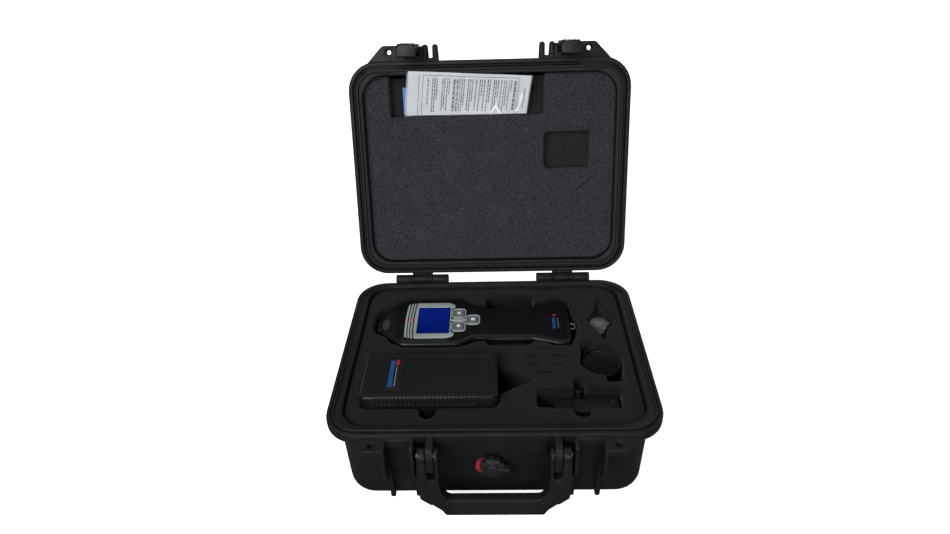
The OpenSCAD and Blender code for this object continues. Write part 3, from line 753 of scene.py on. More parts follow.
def metal_mat(name, colour, rough, brushed=None, hammer=0.0, metal=0.95, spread=0.38):
    """Metal. brushed stretches its grain, hammer dents it, spread varies its colour."""
    s = Shader(name)
    vec = s.stretched(Scale=brushed) if brushed else s.coords
    grain = s.noise(60, detail=4, rough=0.7, vec=vec)
    blot = s.noise(180, detail=4, rough=0.7, dist=0.6)
    base = s.mix(s.remap(blot, span=MIDDLE), dim(colour, 1 - spread), dim(colour, 1.12))
    gloss = s.remap(grain, span=MIDDLE, to=(rough - 0.1, rough + 0.15))
    relief = s.bump(grain, strength=0.2, dist=0.00012)
    if hammer:
        relief = s.bump(s.noise(420, detail=2, rough=0.5), strength=hammer, dist=0.0009,
                        normal=relief)
    return s.finish(Base_Color=base, Metallic=metal, Roughness=gloss, Normal=relief)


def clear_mat(name, colour, alpha, rough):
    """Wavy, partly see-through film."""
    s = Shader(name)
    wave = s.noise(55, detail=3, rough=0.6)
    mat = s.finish(
        Base_Color=s.mix(s.remap(wave, span=MIDDLE), dim(colour, 0.8), colour),
        Roughness=s.remap(wave, span=MIDDLE, to=(rough * 0.6, rough * 1.8)),
        Alpha=s.remap(wave, span=(0.25, 0.75), to=(alpha * 0.7, alpha * 1.5)),
        Specular_IOR_Level=0.7, Normal=s.bump(wave, strength=0.35, dist=0.0012))
    mat.surface_render_method = "BLENDED"
    return mat


def paper_mat(name, colour, rough=0.7, spec=0.3):
    s = Shader(name)
    fibre = s.noise(900, detail=4, rough=0.7)
    cloud = s.noise(20, detail=3, rough=0.6)
    base = s.mix(s.remap(fibre, span=(0.35, 0.65)), dim(colour, 0.9), dim(colour, 1.04))
    base = s.mix(s.remap(cloud, span=MIDDLE, to=(0, 0.35)), base, dim(colour, 0.82))
    gloss = s.remap(cloud, span=MIDDLE, to=(rough - 0.1, rough + 0.1))
    relief = s.bump(fibre, strength=0.15, dist=0.0001)
    relief = s.bump(cloud, strength=0.3, dist=0.0012, normal=relief)
    return s.finish(Base_Color=base, Roughness=gloss, Specular_IOR_Level=spec, Normal=relief)


def board_mat(name, colour):
    """Solder mask with traces and pads."""
    s = Shader(name)
    traces = s.put(s.new("ShaderNodeTexBrick"), Scale=260.0, Vector=s.coords,
                   Color1=dim(colour, 1.5), Color2=colour, Mortar=(0.35, 0.28, 0.12),
                   Mortar_Size=0.035)
    pads = s.cells(330)
    base = s.mix(s.remap(pads, span=(0.1, 0.16), to=(0.75, 0.0)), traces.outputs["Color"],
                 (0.62, 0.6, 0.52))
    gloss = s.remap(s.noise(200), span=MIDDLE, to=(0.3, 0.45))
    return s.finish(Base_Color=base, Roughness=gloss, Specular_IOR_Level=0.5,
                    Normal=s.bump(pads, strength=0.3, dist=0.0002))


def screen_mat(name):
    """Back-lit display: deep blue with a fine grid, a darker border and a slow gradient."""
    s = Shader(name)
    split = s.new("ShaderNodeSeparateXYZ")
    s.feed(split.inputs[0], s.coords)
    x, y = split.outputs[0], split.outputs[1]
    off_x = s.math("ABSOLUTE", s.math("SUBTRACT", x, SCREEN_X * MM))
    off_y = s.math("ABSOLUTE", s.math("SUBTRACT", y, DETECTOR_Y * MM))
    border = s.math("MAXIMUM", s.remap(off_x, span=(0.0172, 0.0192)),
                    s.remap(off_y, span=(0.0232, 0.0254)))
    lines = [s.math("ABSOLUTE", s.math("SINE", s.math("MULTIPLY", axis, 4200.0)))
             for axis in (x, y)]
    grid = s.remap(s.math("MINIMUM", *lines), span=(0.0, 0.25), to=(0.82, 1.0))
    glow = s.remap(s.noise(28, detail=2, rough=0.5), span=MIDDLE, to=(0.86, 1.1))
    light = s.mix(s.remap(y, span=(0.03, 0.08)), (0.0055, 0.026, 0.40), (0.0085, 0.038, 0.52))
    light = s.mix(border, light, (0.001, 0.002, 0.10))
    return s.finish(Base_Color=(0.004, 0.006, 0.03),
                    Roughness=s.remap(s.noise(300), span=MIDDLE, to=(0.12, 0.2)),
                    Specular_IOR_Level=0.35, Emission_Color=light,
                    Emission_Strength=s.math("MULTIPLY", grid, glow),
                    Normal=s.bump(s.noise(40), strength=0.05, dist=0.0004))


# ---------------------------------------------------------------- materials
CASE = moulded("case_plastic", (0.0071, 0.0071, 0.0081), spec=0.2, grain=1300,
               depth=0.00009, strength=0.4, rub_and_sheen=0.5)
LATCH = moulded("latch_plastic", (0.0062, 0.0062, 0.0071), rough=0.42, spec=0.26,
                depth=0.00008, rub_and_sheen=0.5)
HOOK = moulded("hook_plastic", (0.011, 0.011, 0.0125), rough=0.45)
HANDLE = moulded("handle_plastic", (0.0068, 0.0068, 0.0077), rough=0.46, spec=0.24,
                 grain=1300, depth=0.00009, rub_and_sheen=0.6)
GRIP = moulded("grip_rubber", (0.0078, 0.0079, 0.009), rough=0.62, spec=0.2, grain=800,
               depth=0.00014, strength=0.5)
SEAL = moulded("seal_rubber", (0.006, 0.006, 0.007), rough=0.6, spec=0.2, grain=2200)
PIN = metal_mat("pin_steel", (0.55, 0.56, 0.57), rough=0.3, brushed=(900, 20, 20))
VALVE_RED = moulded("valve_red", (0.27, 0.02, 0.03), rough=0.4, spec=0.35, grain=900, var=0.15)
VALVE = moulded("valve_black", (0.0105, 0.0105, 0.0115), rough=0.36, spec=0.3, rub_and_sheen=0.5)
MEMBRANE = moulded("membrane_fibre", (0.3, 0.31, 0.32), rough=0.8, spec=0.1, grain=2500)
# painted shade and painted light: the base foam and the lid foam are one foam; the base copy is
# coloured darker as painted shade and the lid copy lighter as painted light, as the lid faces
# the lamps
SHADED_BASE_FOAM = foam_mat("base_foam_painted_shade", (0.0015, 0.0015, 0.0018), (0.0072, 0.0072, 0.0083),
                scale=430)
FOAM_UNDER = foam_mat("lower_foam_cells", (0.002, 0.002, 0.0024), (0.008, 0.008, 0.0091),
                      scale=430)
LIT_LID_FOAM = foam_mat("lid_foam_painted_light", (0.009, 0.0092, 0.0112), (0.047, 0.0478, 0.0565),
                    scale=400)
# painted shade: the backing foam shows as the floor of the lid's square pocket, and is coloured
# darker than the lid foam for the shade in that pocket
SHADED_LID_BACKING = foam_mat("lid_backing_painted_shade", (0.008, 0.008, 0.009), (0.023, 0.023, 0.026),
                       scale=420)
PAPER = paper_mat("leaflet_paper", (0.70, 0.73, 0.75))
INK = paper_mat("print_grey", (0.05, 0.052, 0.06))
INK_DARK = paper_mat("print_dark", (0.012, 0.012, 0.016))
FILM = clear_mat("sleeve_film", (0.9, 0.93, 0.95), alpha=0.12, rough=0.12)
# painted highlight: a pale paper that stands for glare on the film where it is creased
PAINTED_GLARE = paper_mat("film_painted_highlight", (0.98, 0.98, 0.98), rough=0.3, spec=0.6)
BOOKLET = paper_mat("booklet_cover", (0.075, 0.24, 0.56), rough=0.4, spec=0.4)
PAGES = paper_mat("booklet_pages", (0.62, 0.62, 0.6))
DETECTOR = moulded("detector_plastic", (0.0034, 0.0034, 0.0041), rough=0.33, spec=0.26,
                   grain=1700, rub_and_sheen=0.35)
DETECTOR_REAR = moulded("detector_rear_plastic", (0.0048, 0.0048, 0.0056), grain=1300,
                        depth=0.0001, rub_and_sheen=0.35)
GASKET = moulded("gasket_rubber", (0.02, 0.02, 0.022), rough=0.7, spec=0.15, grain=2000)
BEZEL = moulded("bezel_silver_paint", (0.38, 0.42, 0.42), rough=0.34, spec=0.5, grain=2600,
                depth=0.00002, strength=0.2, var=0.06, metal=0.25, scuff=0.05)
SCREEN = screen_mat("display_back_light")
BOARD = board_mat("board_green", (0.012, 0.11, 0.045))
LED = moulded("led_lens", (0.62, 0.1, 0.15), rough=0.25, spec=0.5, grain=3000, var=0.1)
KEY = moulded("key_rubber", (0.12, 0.131, 0.137), spec=0.35, grain=2200, var=0.08, scuff=0.05)
KEY_MARK = moulded("key_mark_pale", (0.66, 0.68, 0.66), rough=0.45, spec=0.3, grain=2600,
                   var=0.05, scuff=0.03)
SENSOR = metal_mat("sensor_can", (0.62, 0.63, 0.64), rough=0.32, brushed=(20, 400, 400))
LENS = metal_mat("inlet_mesh_dome", (0.075, 0.077, 0.08), rough=0.45, hammer=0.9, metal=0.6,
                 spread=0.4)
FILTER = moulded("filter_fibre", (0.62, 0.62, 0.58), rough=0.85, spec=0.1, grain=1700,
                 depth=0.0002)
TUBE = clear_mat("tube_clear", (0.65, 0.7, 0.72), alpha=0.5, rough=0.2)
COMPONENT = moulded("component_black", (0.014, 0.014, 0.016), rough=0.45, spec=0.3, grain=2600)
CELL = moulded("cell_sleeve_blue", (0.02, 0.08, 0.34), rough=0.25, spec=0.5, grain=900,
               var=0.1)
CHARGER = moulded("charger_plastic", (0.0058, 0.0058, 0.0069), rough=0.45, spec=0.2,
                  grain=900, depth=0.00012, strength=0.5, rub_and_sheen=0.7)
LABEL = moulded("label_film", (0.0068, 0.0068, 0.0079), rough=0.42, spec=0.22, grain=2600)
MARK_BLUE = moulded("mark_blue", (0.006, 0.07, 0.24), rough=0.4, spec=0.3, grain=2600,
                    var=0.08)
MARK_RED = moulded("mark_red", (0.26, 0.012, 0.026), rough=0.4, spec=0.3, grain=2600, var=0.08)
MARK_PALE = moulded("mark_pale", (0.2, 0.21, 0.22), spec=0.3, grain=2600, var=0.08)
# painted highlight: a light plastic for the charger's rib ends and edge beads, standing in for
# light caught on its edges
RIB_HIGHLIGHT = moulded("rib_painted_highlight", (0.034, 0.034, 0.037), rough=0.4, spec=0.4, rub_and_sheen=0.6)
COPPER = metal_mat("core_steel_and_wire", (0.45, 0.24, 0.12), rough=0.4,
                   brushed=(20, 20, 900))
BRASS = metal_mat("contact_brass", (0.72, 0.52, 0.2), rough=0.25)
CLIP = metal_mat("clip_steel", (0.2, 0.205, 0.21), rough=0.45, hammer=0.9, metal=0.5,
                 spread=0.5)
# painted highlight for the calibration cap's rim
RIM_HIGHLIGHT = moulded("cap_rim_painted_highlight", (0.05, 0.05, 0.053), rough=0.35, spec=0.4, grain=1300)
ADAPTER = moulded("adapter_plastic", (0.0052, 0.0052, 0.006), spec=0.18, grain=1300,
                  depth=0.0001, rub_and_sheen=0.4)
ACCESSORY = moulded("accessory_plastic", (0.0026, 0.0026, 0.0031), rough=0.4, spec=0.16,
                    grain=1300, depth=0.0001, rub_and_sheen=0.5)


# ---------------------------------------------------------------- CAD nodes that stay
def smooth_group():
    """Geometry nodes that smooth faces and keep edges steeper than 32 degrees sharp."""
    group = bpy.data.node_groups.new("smooth_by_angle", "GeometryNodeTree")
    for direction in ("INPUT", "OUTPUT"):
        group.interface.new_socket("Geometry", in_out=direction,
                                   socket_type="NodeSocketGeometry")
    start, end, angle, below, faces, edges = [group.nodes.new(kind) for kind in (
        "NodeGroupInput", "NodeGroupOutput", "GeometryNodeInputMeshEdgeAngle",
        "FunctionNodeCompare", "GeometryNodeSetShadeSmooth", "GeometryNodeSetShadeSmooth")]
    below.data_type, below.operation = "FLOAT", "LESS_THAN"
    below.inputs[1].default_value = 32 * DEG
    faces.domain, edges.domain = "FACE", "EDGE"
    for source, target in ((start.outputs[0], faces.inputs["Geometry"]),
                           (faces.outputs[0], edges.inputs["Geometry"]),
                           (angle.outputs["Unsigned Angle"], below.inputs[0]),
                           (below.outputs[0], edges.inputs["Shade Smooth"]),
                           (edges.outputs[0], end.inputs[0])):
        group.links.new(source, target)
    return group


SMOOTH = smooth_group()
NODE_MATERIALS = {
    "hinge_pins": PIN, "latch_pins": PIN, "hook_pin_left": PIN, "hook_pin_right": PIN,
    "handle_pins": PIN, "valve_membrane": MEMBRANE, "cover_gasket": GASKET,
    "lcd_module": BOARD, "keypad_mat": GASKET, "main_board": BOARD, "sensor_cell": SENSOR,
    "inlet_filter": FILTER, "sample_pump": COMPONENT, "sample_tube": TUBE,
    "buzzer": COMPONENT, "battery_pack": CELL, "battery_door": DETECTOR_REAR,
    "cover_screws": PIN, "charger_board": BOARD, "charger_transformer": COPPER,
    "charger_contacts": BRASS, "charger_screws": PIN, "cap_seal": SEAL,
}
UNBEVELLED = ("sample_tube", "cover_gasket")


def dress_cad(name, mat):
    """Gives a CAD node its material, welded seams, small rounded edges and smooth shading."""
    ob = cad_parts[name]
    if "custom_normal" in ob.data.attributes:
        ob.data.attributes.remove(ob.data.attributes["custom_normal"])
    ob.modifiers.new("weld", "WELD").merge_threshold = 2e-6
    if name not in UNBEVELLED:
        bevel = ob.modifiers.new("edges", "BEVEL")
        bevel.width, bevel.segments = 0.2 * MM, 2
        bevel.limit_method, bevel.angle_limit = "ANGLE", 40 * DEG
        bevel.use_clamp_overlap = True
    ob.modifiers.new("smooth", "NODES").node_group = SMOOTH
    ob.data.materials.clear()
    ob.data.materials.append(mat)


for node_name, node_mat in NODE_MATERIALS.items():
    dress_cad(node_name, node_mat)


# ---------------------------------------------------------------- case shells
RIB_YS = (-70, -23, 24, 71)   # ribs on the two sides
RIB_XS = (-32, 0, 32)         # ribs on the back, and on the lid's front
EAR_HOLE = (119, -143)


def rim_ring(inwards, z, n=9):
    return [(x, y, z) for x, y in rect(-HALF_X + inwards, HALF_X - inwards, -HALF_Y + inwards,
                                       HALF_Y - inwards, RIM_CORNER - inwards, n)]


def rect_ring(half_x, y0, y1, r, z, grow=0.0):
    return [(x, y, z) for x, y in rect(-half_x - grow, half_x + grow, y0 - grow, y1 + grow,
                                       r + grow, 9)]


def padlock_ear(z0, z1, bead, web_z0, web_z1):
    """An ear with a hole and a turned bead in it, and the thick web behind it."""
    ear = rounded([(105.6, -126), (105.6, -150.7), (126.7, -150.7), (145, -131.5),
                   (150, -120), (120, -118)], [0, 1, 7, 6, 4, 0])
    web = rounded([(112, -124), (133, -136), (146, -124), (140, -118), (112, -118)], 2)
    return [solid(ear, z0, z1, 1.0, holes=[circle(*EAR_HOLE, 4, 28)]),
            lathe(bead, "z", EAR_HOLE, 36, ends="open"),
            solid(web, web_z0, web_z1, 1.0)]


def hinge_plate(outline, x0, x1, high, hole):
    return solid(outline, x0, x1, high, "x", [circle(HINGE_Y, HINGE_Z, hole, 24)])


def base_rings():
    """Rings of the base, up the outside, over the rim and down the inside."""
    rings = [rect_ring(139.7, -104.4, 108.3, 13.2, 16.8 - 16.8 * c, grow=16.8 * s)
             for s, c in sincos(steps(0, 90, 9))]
    # half x, y0, y1, corner radius, z
    rings += [rect_ring(*row) for row in (
        (158.6, -123.8, 127.8, 32.4, 88.2), (159.2, -124.4, 128.4, 32.6, 89.3),
        (160.6, -125.9, 129.0, 32.2, 90.0), (165.0, -127.9, 130.0, 31.4, 90.0),
        (165.9, -128.7, 130.4, 31.2, 90.9))]
    # distance inside the rim, z
    rings += [rim_ring(*row) for row in (
        (4.0, 94.2), (3.3, 94.8), (1.3, 94.8), (0.4, 95.2), (0, 96.2), (0, 104.2))]
    rings += [rim_ring(1.8 * (1 - c), 104.2 + 1.8 * s) for s, c in sincos((25, 50, 72, 90))]
    rings += [rim_ring(*row) for row in (
        (3.9, 106), (4.25, 105.7), (4.4, 104.4), (5.3, 104.4), (5.5, 106.4), (5.7, 107.1),
        (6.3, 107.6), (7.5, 107.6), (8.1, 107.1), (8.35, 106.1), (8.7, 105.9))]
    rings.append(rect_ring(156.3, -121.7, 124.6, 28.4, 105.9))
    rings += [rect_ring(154.5, -119.9, 122.8, 27.5, 104.3 + 1.6 * s, grow=1.6 * (1 - c))
              for s, c in sincos(steps(90, 0, 4))]
    rings += [rect_ring(138, -103.4, 106.3, 11, 19 - 15 * s, grow=15 * c)
              for s, c in sincos(steps(0, 90, 7))]
    return rings


def base_shell():
    bead = [(4.2, 95.6), (4.2, 102.6), (3.5, 102.9), (3.1, 102.4), (3.1, 95.8), (3.5, 95.2),
            (4.2, 95.6)]
    knuckle = ([(118, 70), (125, 70)] + arc(HINGE_Y, HINGE_Z, 6.4, -52, 180, 22)
               + [(133.6, 104.3), (118, 104.3)])
    shell = Part(loft(base_rings()))
    shell.add(*both(
        *padlock_ear(95, 103, bead, 88, 96),
        # fins beside each latch
        side_plate([(-118, 102.4), (-150.9, 102.4), (-152, 69), (-147, 57), (-131, 49),
                    (-129, 40), (-115, 40)], 105.4, 109.6, 1.1, [0, 3, 9, 6, 7, 0, 0]),
        side_plate([(-118, 70), (-138, 70), (-131.5, 50), (-130.5, 14), (-127, 9), (-115, 9)],
                   104.2, 108.8, 1.2, [0, 0, 7, 8, 2, 0]),
        side_plate([(-118, 102.5), (-147, 102.5), (-148, 66), (-143, 57), (-130.5, 49),
                    (-130, 14), (-126.5, 9), (-115, 9)], 78, 82, 1.1,
                   [0, 3, 8, 6, 7, 8, 2, 0]),
        # strike plate and catch bar between the fins
        solid(rect(80, 107, -135.5, -118, 1.0), 92.2, 102.7, 1.0),
        solid(rect(81, 106.5, -126.4, -120, 1.0), 52, 93, 0.8),
        # handle lugs
        side_plate([(-118, 103.9), (-149.5, 103.9), (-153.2, 93), (-151, 73), (-146, 69),
                    (-118, 60)], 58.5, 66, 1.0, [0, 6, 7, 4, 6, 0]),
        solid(rect(66, 78.6, -127.6, -119, 0.8), 60, 72, 0.9),
        hinge_plate(knuckle, 57, 77.6, 0.7, 2.55),
        hinge_plate(knuckle, 104.4, 125, 0.7, 2.55),
    ))
    # panel and boss of the pressure valve
    shell.add(
        solid(rounded([(-54, 68), (54, 68), (54, 96), (-54, 96)], 3), -126.3, -112, 0, "y",
              low=1.2),
        lathe([(17.5, -112), (17.5, -123.6), (16.4, -124.8), (14.8, -125.3), (9.5, -125.5),
               (8.6, -126), (8.5, -124)], "y", (VALVE_X, VALVE_Z), 56))
    side_rib = rounded([(152, 14), (157.1, 16), (159.2, 34), (160.7, 92.6), (152, 92.6)], 1.2)
    shell.add(*both(*[solid(side_rib, y - 3, y + 3, 1.1, "y") for y in RIB_YS]))
    back_rib = [(122, 14), (125.8, 16), (127.6, 40), (129.4, 92.6), (122, 92.6)]
    shell.add(*[side_plate(back_rib, x - 3, x + 3, 1.1, 1.2) for x in RIB_XS])
    shell.add(*[cylinder("z", (x, y), 9, 0.0, 3, 0.8, 32) for x in (-118, 118)
                for y in (-86, 90)])
    return shell


def lid_rings():
    """Rings of the lid, down the outside, round the rim and seal groove, and up inside."""
    rings = [rect_ring(145, -110, 114, 19, 141 + 11 * c, grow=11 * s)
             for s, c in sincos(steps(0, 90, 6))]
    # half x, y0, y1, corner radius, z
    rings += [rect_ring(*row) for row in (
        (158.2, -123.8, 127.7, 32.3, 121), (158.8, -124.4, 128.2, 32.4, 119.8),
        (160.4, -125.8, 128.4, 32.0, 119.0), (165, -127.8, 128.5, 31.3, 119.0))]
    # distance inside the rim, z
    rings += [rim_ring(*row) for row in (
        (4.0, 118.1), (4.0, 114.7), (3.3, 114.0), (1.1, 114.0), (0.3, 113.7), (0, 112.9),
        (0, 107.9))]
    rings += [rim_ring(1.8 * (1 - c), 107.9 - 1.8 * s) for s, c in sincos((25, 50, 72, 90))]
    rings += [rim_ring(*row) for row in (
        (4.5, 106.1), (4.9, 106.5), (4.95, 110.9), (8.85, 110.9), (8.9, 106.5), (9.2, 106.1),
        (11.3, 106.1), (11.7, 106.5), (11.8, 108.9))]
    rings.append(rect_ring(155.6, -118.2, 120.0, 27.8, 109))
    rings += [rect_ring(153.9, -116.1, 118, 26.8, 109 + 1.5 * (1 - c), grow=1.5 * (1 - s))
              for s, c in sincos((25, 50, 75, 90))]
    rings += [rect_ring(148, -110.2, 112.2, 21, 143 + 5 * s, grow=5 * c)
              for s, c in sincos(steps(0, 90, 5))]
    return rings


def lid_latch_mounts():
    """Fins and stops that carry a latch, drawn on the right."""
    bracket = rounded([(-124, 112), (-129.6, 112), (-129.6, 106.6), (-151, 106.6),
                       (-151.6, 115), (-124, 136)], [0, 0, 0, 5, 6, 0])
    return [
        side_plate([(-118, 112), (-129.5, 112), (-129.5, 107), (-150.5, 107), (-151, 123),
                    (-144, 128), (-118, 140)], 105.5, 109.5, 1.0, [0, 0, 0, 4, 6, 6, 0]),
        side_plate([(-118, 112), (-129.5, 112), (-129.5, 107), (-149, 107), (-150, 123),
                    (-144, 128), (-118, 140)], 78.3, 82.5, 1.0, [0, 0, 0, 4, 6, 6, 0]),
        side_plate([(-118, 112), (-129.5, 112), (-129.5, 107.6), (-135, 107.6), (-137.4, 112),
                    (-137.4, 126.5), (-132, 133), (-118, 138.6)], 82, 106, 0.4,
                   [0, 0, 0, 2, 2, 2, 4, 0]),
        *[side_plate([(-129.5, 107.6), (-138, 107.6), (-139.6, 109.5), (-139.6, 113.8),
                      (-129.5, 113.8)], x0, x1, 0.3, [0, 1, 1, 0.5, 0])
          for x0, x1 in ((82, 86.8), (101.2, 106))],
        *[solid(bracket, x - 0.4, x + 6.4, 2.9, "x", seg=5) for x in (60.5, 72.3)],
        solid(rect(66, 73, -136, -129.4, 1), 107.6, 120, 0.9),
    ]


def lid_hinge_lug():
    """A hinge lug in three leaves with thinner webs between them, drawn on the right."""
    leaf = ([(118, 111.3), (128.7, 111.3), (128.7, 106.5), (134.2, 106.5)]
            + arc(HINGE_Y, HINGE_Z, 6.4, -180, 0, 20)
            + [(146.1, 109.7), (143.5, 112.4), (136.6, 114), (118, 114)])
    web = ([(118, 111.6), (128.9, 111.6), (128.9, 107.1), (134.6, 107.1)]
           + arc(HINGE_Y, HINGE_Z, 5.5, -180, 0, 16)
           + [(145.2, 109.0), (142.8, 111.4), (136.2, 113), (118, 113)])
    sleeve = arc(HINGE_Y, HINGE_Z, 6.2, -60, 60, 10) + arc(HINGE_Y, HINGE_Z, 2.7, 60, -60, 6)
    return [
        *[hinge_plate(leaf, x0, x1, 0.5, 2.57)
          for x0, x1 in ((78, 80.2), (83.2, 98.8), (101.8, 104))],
        *[hinge_plate(web, x0, x1, 0, 2.57) for x0, x1 in ((79.6, 83.8), (98.2, 102.4))],
        side_plate([(118, 111.3), (128.7, 111.3), (128.7, 106.6), (132.9, 106.6),
                    (133.2, 114), (118, 116.5)], 78.2, 103.8, 0.5, [0, 0, 0, 1.2, 1.2, 0]),
        solid(sleeve, 79, 103, 0.3, "x"),
    ]


def lid_shell():
    bead = [(4.2, 109.2), (4.2, 117.0), (3.0, 117.3), (2.5, 116.6), (2.9, 111), (3.5, 109.3),
            (4.2, 109.2)]
    shell = Part(loft(lid_rings()))
    shell.add(*both(*padlock_ear(108.6, 117.5, bead, 115.5, 124), *lid_latch_mounts(),
                    *lid_hinge_lug()))
    # raised panel and ribs on the outside
    shell.add(solid(rect(-128, 128, -92, 96, 14, 8), 150, 152.9, 0.9, low=0))
    side_rib = rounded([(150, 119), (160.6, 119), (158.9, 132), (155.4, 146), (150, 149)], 1.4)
    shell.add(*both(*[solid(side_rib, y - 3, y + 3, 1.1, "y") for y in RIB_YS]))
    back_rib = [(120, 119), (129.0, 119), (127.9, 132), (124.4, 146), (119, 149)]
    front_rib = [(-116, 119), (-125.6, 119), (-123.9, 132), (-120.4, 146), (-115, 149)]
    shell.add(*[side_plate(rib, x - 3, x + 3, 1.1, 1.4) for x in RIB_XS
                for rib in (back_rib, front_rib)])
    return shell


def lid_o_ring():
    """The seal in the lid's groove, of oval section."""
    return Part(loft([rim_ring(6.9 + 1.5 * math.cos(a), 109.65 + 1.25 * math.sin(a), 12)
                      for a in full_turn(12)], loop=True))


make("case_base_shell", base_shell(), CASE, "case_base", "case_base", sharp=34)
make("case_lid_shell", lid_shell(), CASE, "case_lid", "case_lid", lid=True,
     sharp=34)
make("lid_o_ring", lid_o_ring(), SEAL, "case_lid", "lid_seal", lid=True,
     sharp=60)


# ---------------------------------------------------------------- latches
def latch_lever():
    """The lever of the right latch."""
    pin_y, pin_z = -143.0, 119.5
    profile = ([(-151.2, 74), (-152.5, 80), (-152.4, 96), (-152.6, 112)]
               + arc(-147.2, pin_z, 5.3, 180, 92, 8) + arc(pin_y, pin_z, 4.9, 88, -75, 12)
               + [(-147.3, 111), (-147.6, 96), (-147.5, 76)])
    cheek = [(-149, 78), (-144.7, 90), (-144.3, 104.6), (-142.8, 106), (-142.6, 116),
             (-149, 116)]
    tip = rounded([(82.9, -136.8), (82.9, -147.6), (87.5, -152.0), (100.5, -152.0),
                   (105.1, -147.6), (105.1, -136.8)], [1.0, 6, 7, 7, 6, 1.0], 6)
    panel = rounded([(87.5, 98.5), (100.5, 98.5), (98.5, 111), (89.5, 111)], 2)
    return [
        solid(rounded(profile, 0.8, 3), 83.3, 104.7, 1.1, "x",
              [circle(pin_y, pin_z, 2.07, 20)]),
        *[side_plate(cheek, x, x + 3, 0.7, [0, 3, 2, 2, 2, 0]) for x in (83.35, 101.65)],
        solid(tip, 71.2, 80.5, 1.6, seg=4),   # bulky finger end
        *[solid(rect(86.5, 101.5, -153.0, -150, 0.9), z, z + 2, 0.9) for z in (84.5, 89, 93.5)],
        solid(panel, -153.1, -149, 0, "y", low=0.7),
    ]


def latch_hook():
    """The hook of the right latch."""
    pin_y, pin_z = -143.6, 109.5
    profile = ([(-146.9, 84), (-140, 84), (-138.5, 86), (-138.5, 89.3), (-142.9, 90.4),
                (-143, 105)] + arc(pin_y, pin_z, 3.4, -72, 178, 16))
    return [solid(rounded(profile, 0.5, 2), 87, 101, 0.6, "x",
                  [circle(pin_y, pin_z, 1.57, 18)]),
            solid(rect(90, 98, -147.5, -145, 0.6), 90, 104, 0.5)]


for side_name in ("right", "left"):
    for piece, body_kind, meshes, piece_mat in (("lever", "latch", latch_lever(), LATCH),
                                                ("hook", "hook", latch_hook(), HOOK)):
        if side_name == "left":
            meshes = [mirrored(mesh) for mesh in meshes]
        make(f"latch_{piece}_{side_name}", Part(*meshes), piece_mat,
             f"{body_kind}_{side_name}", f"latch_{side_name}_{piece}", lid=True)


# ---------------------------------------------------------------- handle
def carry_handle():
    # right half as (x, z): outside of the arm, the fork at its end, then the inside
    outside = [(50, 9.2), (54, 16.6), (63.2, 25.3), (65.2, 25.3), (75, 34.2), (76.6, 60),
               (74.5, 94), (70, 99), (66.5, 99)]
    fork_floor = arc(62.2, 66, 4.3, 0, -180, 8)[1:-1]
    inside = [(57.9, 99), (54, 99), (54.5, 54), (53.5, 44), (46.5, 32.6)]
    right = outside + [(66.5, 66)] + fork_floor + [(57.9, 66)] + inside
    radii = ([3, 4, 1.2, 1.2, 5, 12, 3, 2, 1.5] + [1.5] + [0] * len(fork_floor) + [1.5]
             + [1.5, 1.7, 7, 5, 6])
    outline = right + [(-x, z) for x, z in right[::-1]]
    # raised panels on the arms and at each bevelled corner
    arm_panel = rounded([(67, 43), (71.5, 39), (73.6, 60), (71.6, 84), (68.6, 84)], 1.6)
    corner_panel = rounded([(46.8, 12.5), (51.3, 18.5), (51.3, 28), (46.8, 28.6)], 1.4)
    return Part(
        solid(rounded(outline, radii + radii[::-1]), -151.5, -141.5, 1.15, "y"),
        *both(cylinder("x", HANDLE_PIVOT, 7.4, 66.5, 74.3, 1.2, 44),
              cylinder("x", HANDLE_PIVOT, 7.4, 54.2, 57.9, 0.9, 44),
              solid(arm_panel, -152.1, -148, 0.0, "y", low=0.6),
              solid(corner_panel, -152.0, -148, 0.0, "y", low=0.5)))


def soft_grip():
    """A swollen sleeve with a row of shallow grooves round it."""
    half = 44
    rings = []
    for x in range(-half, half + 1):
        end = min(x + half, half - x)
        swell = (-0.9 * math.exp(-end / 0.8)
                 + 0.35 * math.sin(math.pi * min(1, end / 14) / 2))
        if abs(x) < 33:
            swell -= 0.42 * (0.5 + 0.5 * math.cos(2 * math.pi * x / 5.5)) ** 3
        rings.append([(x, y, z) for y, z in rect(-151.7 - swell, -141.3 + swell, 9.2 - swell,
                                                 32.6 + swell, 3.6 + swell)])
    return Part(loft(rings))


make("carry_handle", carry_handle(), HANDLE, "handle", "handle_frame")
make("handle_soft_grip", soft_grip(), GRIP, "handle", "handle_grip", sharp=50)


# ---------------------------------------------------------------- pressure valve
def valve_flange():
    return Part(lathe([(3, -123), (9.5, -123), (9.8, -127.2), (9.5, -128.2), (8.8, -128.6),
                       (3, -128.6)], "y", (VALVE_X - 8.0, VALVE_Z - 4.6), 56))


